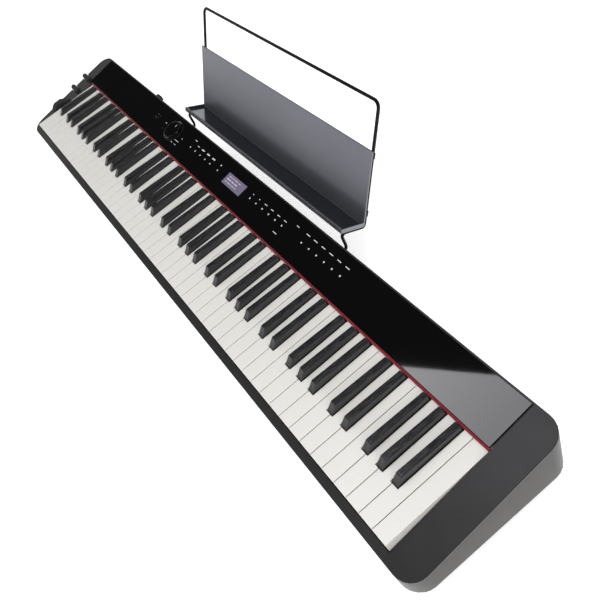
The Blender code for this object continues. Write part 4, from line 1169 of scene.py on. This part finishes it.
@dataclass
class MusicRest:
    """The folded sheet with its tray and lip, and the bent wire behind it."""

    tilt: float = math.radians(27.6)
    corner: tuple[float, float] = (262.5, 8.5)
    half_length: float = 250.5
    tray: float = 39.0
    panel_edge: float = 0.6
    bead: float = 1.5
    bead_up: float = 3.9
    bead_end: float = 3.0
    bead_edge: float = 0.9
    wire_half: float = 246.0
    wire_radius: float = 2.5
    away: float = 5.2
    clip_levels: tuple[tuple[float, str], ...] = ((104.0, "upper"), (16.0, "lower"))
    clip_room: tuple[float, float] = (2.4, 1.8)
    clip_height: float = 10.0
    clip_taper: Place = (0.6, 1.0, 0.92)
    clip_edge: float = 0.8

    def place(self, bench: Bench, x: float, forward: float, up: float) -> Vector:
        """Turn a place along the tray and up the sheet into the frame."""
        y = self.corner[0] - forward * math.cos(self.tilt) + up * math.sin(self.tilt)
        z = self.corner[1] + forward * math.sin(self.tilt) + up * math.cos(self.tilt)
        return bench.layout.at(x, y, z)

    def build(self, bench: Bench, frame: dict) -> None:
        """Dress the sheet and wire, and add the lip bead and clips."""
        nodes = frame["nodes"]
        sheet = bench.refine(nodes["music_rest_panel"], "music_rest", "rest_satin", self.panel_edge,
                             "rest", 3)
        self._gloss_tray(bench, sheet)
        bench.refine(nodes["music_rest_wire"], "music_rest", "wire_black", 0.1, "wire")
        self._lip_bead(bench)
        self._clips(bench)

    def _gloss_tray(self, bench: Bench, sheet: bpy.types.Object) -> None:
        """Give the tray and its lip their own gloss finish."""
        sheet.data.materials.append(bench.finishes["tray_gloss"])
        corner = self.place(bench, 0.0, 0.0, 0.0)
        along = Vector((0.0, -math.cos(self.tilt), math.sin(self.tilt)))
        for face in sheet.data.polygons:
            if (face.center - corner).dot(along) > self.panel_edge * MM:
                face.material_index = 1

    def _lip_bead(self, bench: Bench) -> None:
        """Rolled bead along the front of the tray."""
        centre = self.place(bench, 0.0, self.tray - self.bead, self.bead_up)
        bead = bench.disc(centre, self.bead, 2 * (self.half_length - self.bead_end), math.pi / 2, 16)
        bench.soften(bead, self.bead_edge, 3)
        bench.finish(bead, "tray_lip_bead", "music_rest", "rest_satin", "rest")

    def _clips(self, bench: Bench) -> None:
        """Folded tabs that hold the sheet to the wire, near its top and bottom."""
        size = (*(2 * self.wire_radius + room for room in self.clip_room), self.clip_height)
        for side, word in ((-1, "left"), (1, "right")):
            for up, level in self.clip_levels:
                centre = self.place(bench, side * self.wire_half, -self.away, up)
                clip = bench.slab(centre, size, -self.tilt)
                with edit_mode():
                    bench.choose(clip, "FACE", lambda mid, out: out.y > FACING)
                    bpy.ops.transform.resize(value=self.clip_taper)
                bench.soften(clip, self.clip_edge, 3)
                name = "rest_clip_%s_%s" % (level, word)
                bench.finish(clip, name, "music_rest", "wire_black", "wire")


@dataclass
class RearSockets:
    """Trim of the sockets in the rear wall, and the plug-in adapter."""

    socket_z: float = -4.0
    face_y: float = 218.0
    rings: dict[float, float] = field(
        default_factory=lambda: {-370.0: 4.5, -346.0: 6.7, -322.0: 6.7, -296.0: 6.0})
    ring_gap: float = 0.8
    ring_wire: float = 0.6
    adapter_x: float = -397.0
    adapter_reach: float = 9.1
    adapter_ring: tuple[float, float] = (2.2, 0.35)
    adapter_edge: float = 0.8
    board_edge: float = 0.15
    plate_y: float = 201.0

    def build(self, bench: Bench, frame: dict) -> None:
        """Dress the adapter, blacken the sockets' bodies and ring the round ones."""
        nodes = frame["nodes"]
        board = bench.refine(nodes["jack_board"], "piano", "circuit_board", self.board_edge, "board", 1)
        board.data.materials.append(bench.finishes["ribbed_plastic"])
        plate = bench.layout.at(0.0, self.plate_y, 0.0).y
        for face in board.data.polygons:
            if face.center.y > plate:
                face.material_index = 1
        bench.refine(nodes["wireless_adapter"], "wireless_adapter", "soft_rubber", self.adapter_edge,
                     "knob", 3)
        for index, (x, radius) in enumerate(self.rings.items()):
            place = bench.layout.at(x, self.face_y + 0.1, self.socket_z)
            ring = bench.ring(place, radius + self.ring_gap, self.ring_wire, math.pi / 2, 32)
            bench.finish(ring, "socket_ring_%d" % (index + 1), "piano", "nickel_ring", "steel")
        place = bench.layout.at(self.adapter_x, self.face_y + self.adapter_reach, self.socket_z)
        light = bench.ring(place, *self.adapter_ring, math.pi / 2, 24)
        bench.finish(light, "adapter_ring", "wireless_adapter", "pale_ink", "knob")


@dataclass
class Insides:
    """What lies inside the casing: it keeps its frame shape and gets its own materials."""

    finishes: dict[str, str] = field(default_factory=lambda: {
        "display_module": "display_glow", "touch_board": "circuit_board", "main_board": "circuit_board",
        "key_sensor_board": "circuit_board", "key_chassis": "chassis_grey",
        "key_fulcrum_rod": "drawn_steel", "hammer_pivot_rod": "drawn_steel",
        "hammer_stop_felt": "grey_felt",
        "speaker_left": "speaker_cone", "speaker_right": "speaker_cone"})

    def build(self, bench: Bench, frame: dict) -> None:
        """Give every inner node its material."""
        for name, node in frame["nodes"].items():
            finish = self.finishes.get(name, "stamped_weight" if name.startswith("hammer_") else None)
            if finish:
                node.data.materials.clear()
                node.data.materials.append(bench.finishes[finish])
                LOG.info("%s dressed in %s", name, finish)


# --- Studio -----------------------------------------------------------------------------------------
@dataclass(frozen=True)
class Softbox:
    """A square soft light: its place and target, its side in metres and its power in watts."""

    name: str
    place: Place
    target: Place
    size: float
    power: float

    def hang(self, layout: Layout) -> None:
        """Hang the light, out of reflections."""
        data = bpy.data.lights.new(self.name, "AREA")
        data.shape = "SQUARE"
        data.size = self.size
        data.energy = self.power
        lamp = bpy.data.objects.new(self.name, data)
        bpy.context.scene.collection.objects.link(lamp)
        lamp.location = layout.at(*self.place)
        aim = layout.at(*self.target) - lamp.location
        lamp.rotation_euler = aim.to_track_quat("-Z", "Y").to_euler()
        lamp.visible_glossy = False


@dataclass
class Studio:
    """Pale floor, soft lights, and the camera above the treble end."""

    camera_place: Place = (889.47, 2.59, 700.85)
    camera_turn: tuple[float, float, float] = (37.399, 20.176, 54.578)
    lens: float = 40.86
    floor_size: float = 40.0
    floor_grey: float = 0.90
    floor_glow: float = 0.55
    surround: float = 0.55
    horizon: float = 0.95
    ceiling: float = 0.02
    horizon_top: tuple[float, float] = (0.28, 0.42)
    softboxes: tuple[Softbox, ...] = (
        Softbox("top softbox", (300.0, -200.0, 1900.0), (0.0, 100.0, 0.0), 2.4, 28.0),
        Softbox("treble side softbox", (2300.0, -300.0, 700.0), (300.0, 80.0, 0.0), 1.4, 14.0))
    card_corners: tuple[tuple[float, float], ...] = (
        (-840.0, -73.0), (400.0, -73.0), (-240.0, 317.0), (400.0, 317.0))
    card_height: float = 2000.0
    card_tint: Colour = (0.96, 0.96, 1.0)
    card_glow: float = 6.2
    card_fade_x: tuple[float, float] = (-0.84, -0.20)
    card_fade: tuple[float, float] = (1.0, 0.62)

    def build(self, bench: Bench) -> None:
        """Set the stage."""
        bpy.context.scene.view_settings.view_transform = "Standard"
        self._camera(bench)
        self._surround()
        self._floor(bench)
        for softbox in self.softboxes:
            softbox.hang(bench.layout)
        self._card(bench)

    def _camera(self, bench: Bench) -> None:
        """Place the camera."""
        data = bpy.data.cameras.new("camera")
        data.lens = self.lens
        data.sensor_width = 36.0
        data.clip_start = 0.01
        camera = bpy.data.objects.new("camera", data)
        bpy.context.scene.collection.objects.link(camera)
        camera.location = bench.layout.at(*self.camera_place)
        camera.rotation_euler = [math.radians(angle) for angle in self.camera_turn]
        bpy.context.scene.camera = camera

    def _surround(self) -> None:
        """White backdrop, pale light, and for reflections a bright horizon under a dark ceiling."""
        world = bpy.data.worlds.new("surround")
        world.use_nodes = True
        bpy.context.scene.world = world
        build = NodeBuilder(world.node_tree)
        sky = world.node_tree.nodes["Background"]
        sky.inputs["Color"].default_value = WHITE
        sky.inputs["Strength"].default_value = self.surround
        split = build.add("SeparateXYZ")
        build.join(build.add("TexCoord").outputs["Generated"], split.inputs[0])
        glow = build.fade(split.outputs[2], self.horizon_top, (self.horizon, self.ceiling))
        mirrored = build.add("Background", inputs={"Color": WHITE})
        build.join(glow, mirrored.inputs["Strength"])
        backdrop = build.add("Background", inputs={"Color": WHITE, "Strength": 1.0})
        path = build.add("LightPath")
        lit = build.shaders(path.outputs["Is Glossy Ray"], sky, mirrored)
        seen = build.shaders(path.outputs["Is Camera Ray"], lit, backdrop)
        build.join(seen.outputs[0], world.node_tree.nodes["World Output"].inputs["Surface"])

    def _floor(self, bench: Bench) -> None:
        """Wide pale floor at the feet, clear when seen from below."""
        low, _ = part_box("foot_front_left")
        bench.clear_selection()
        bpy.ops.mesh.primitive_plane_add(size=self.floor_size, location=(0.0, 0.0, low[2]))
        floor = bpy.context.object
        floor.name = "floor"
        grey = (self.floor_grey, self.floor_grey, self.floor_grey, 1.0)
        material, build, shader = new_material(
            "floor_paper", Base_Color=grey, Roughness=0.9, Specular_IOR_Level=0.1, Emission_Color=WHITE,
            Emission_Strength=self.floor_glow)
        sides = build.shaders(build.add("NewGeometry").outputs["Backfacing"], shader,
                              build.add("BsdfTransparent"))
        build.join(sides.outputs[0], material.node_tree.nodes["Material Output"].inputs["Surface"])
        floor.data.materials.append(material)

    def _card(self, bench: Bench) -> None:
        """Pale ceiling card that the treble end of the gloss panel mirrors, with a slanted edge."""
        bench.clear_selection()
        bpy.ops.mesh.primitive_plane_add(size=1.0, location=ORIGIN)
        card = bpy.context.object
        for vertex, (x, y) in zip(card.data.vertices, self.card_corners):
            vertex.co = bench.layout.at(x, y, self.card_height)
        card.name = "ceiling_card"
        material, build, shader = new_material("card_glow", Base_Color=BLACK,
                                               Emission_Strength=self.card_glow)
        split = build.add("SeparateXYZ")
        build.join(build.add("TexCoord").outputs["Object"], split.inputs[0])
        fade = build.fade(split.outputs[0], self.card_fade_x, self.card_fade, smooth=False)
        tone = build.add("CombineColor")
        for channel, share in enumerate(self.card_tint):
            build.join(build.math("MULTIPLY", fade, share), tone.inputs[channel])
        build.join(tone.outputs[0], shader.inputs["Emission Color"])
        card.data.materials.append(material)
        card.visible_camera = False
        card.visible_diffuse = False
        card.visible_shadow = False


# --- The whole --------------------------------------------------------------------------------------
def main() -> None:
    """Build the looks around the frame and report each piece."""
    logging.basicConfig(level=logging.INFO, format="%(name)s: %(message)s")
    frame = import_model()
    bench = Bench(Layout.from_frame(), Finishes())
    for assembly in (Insides(), Casing(), ControlPanel(), SideControls(), Keyboard(), MusicRest(),
                     RearSockets()):
        assembly.build(bench, frame)
        LOG.info("%s done", type(assembly).__name__)
    Studio().build(bench)
    bench.clear_selection()


if __name__ == "__main__":
    main()
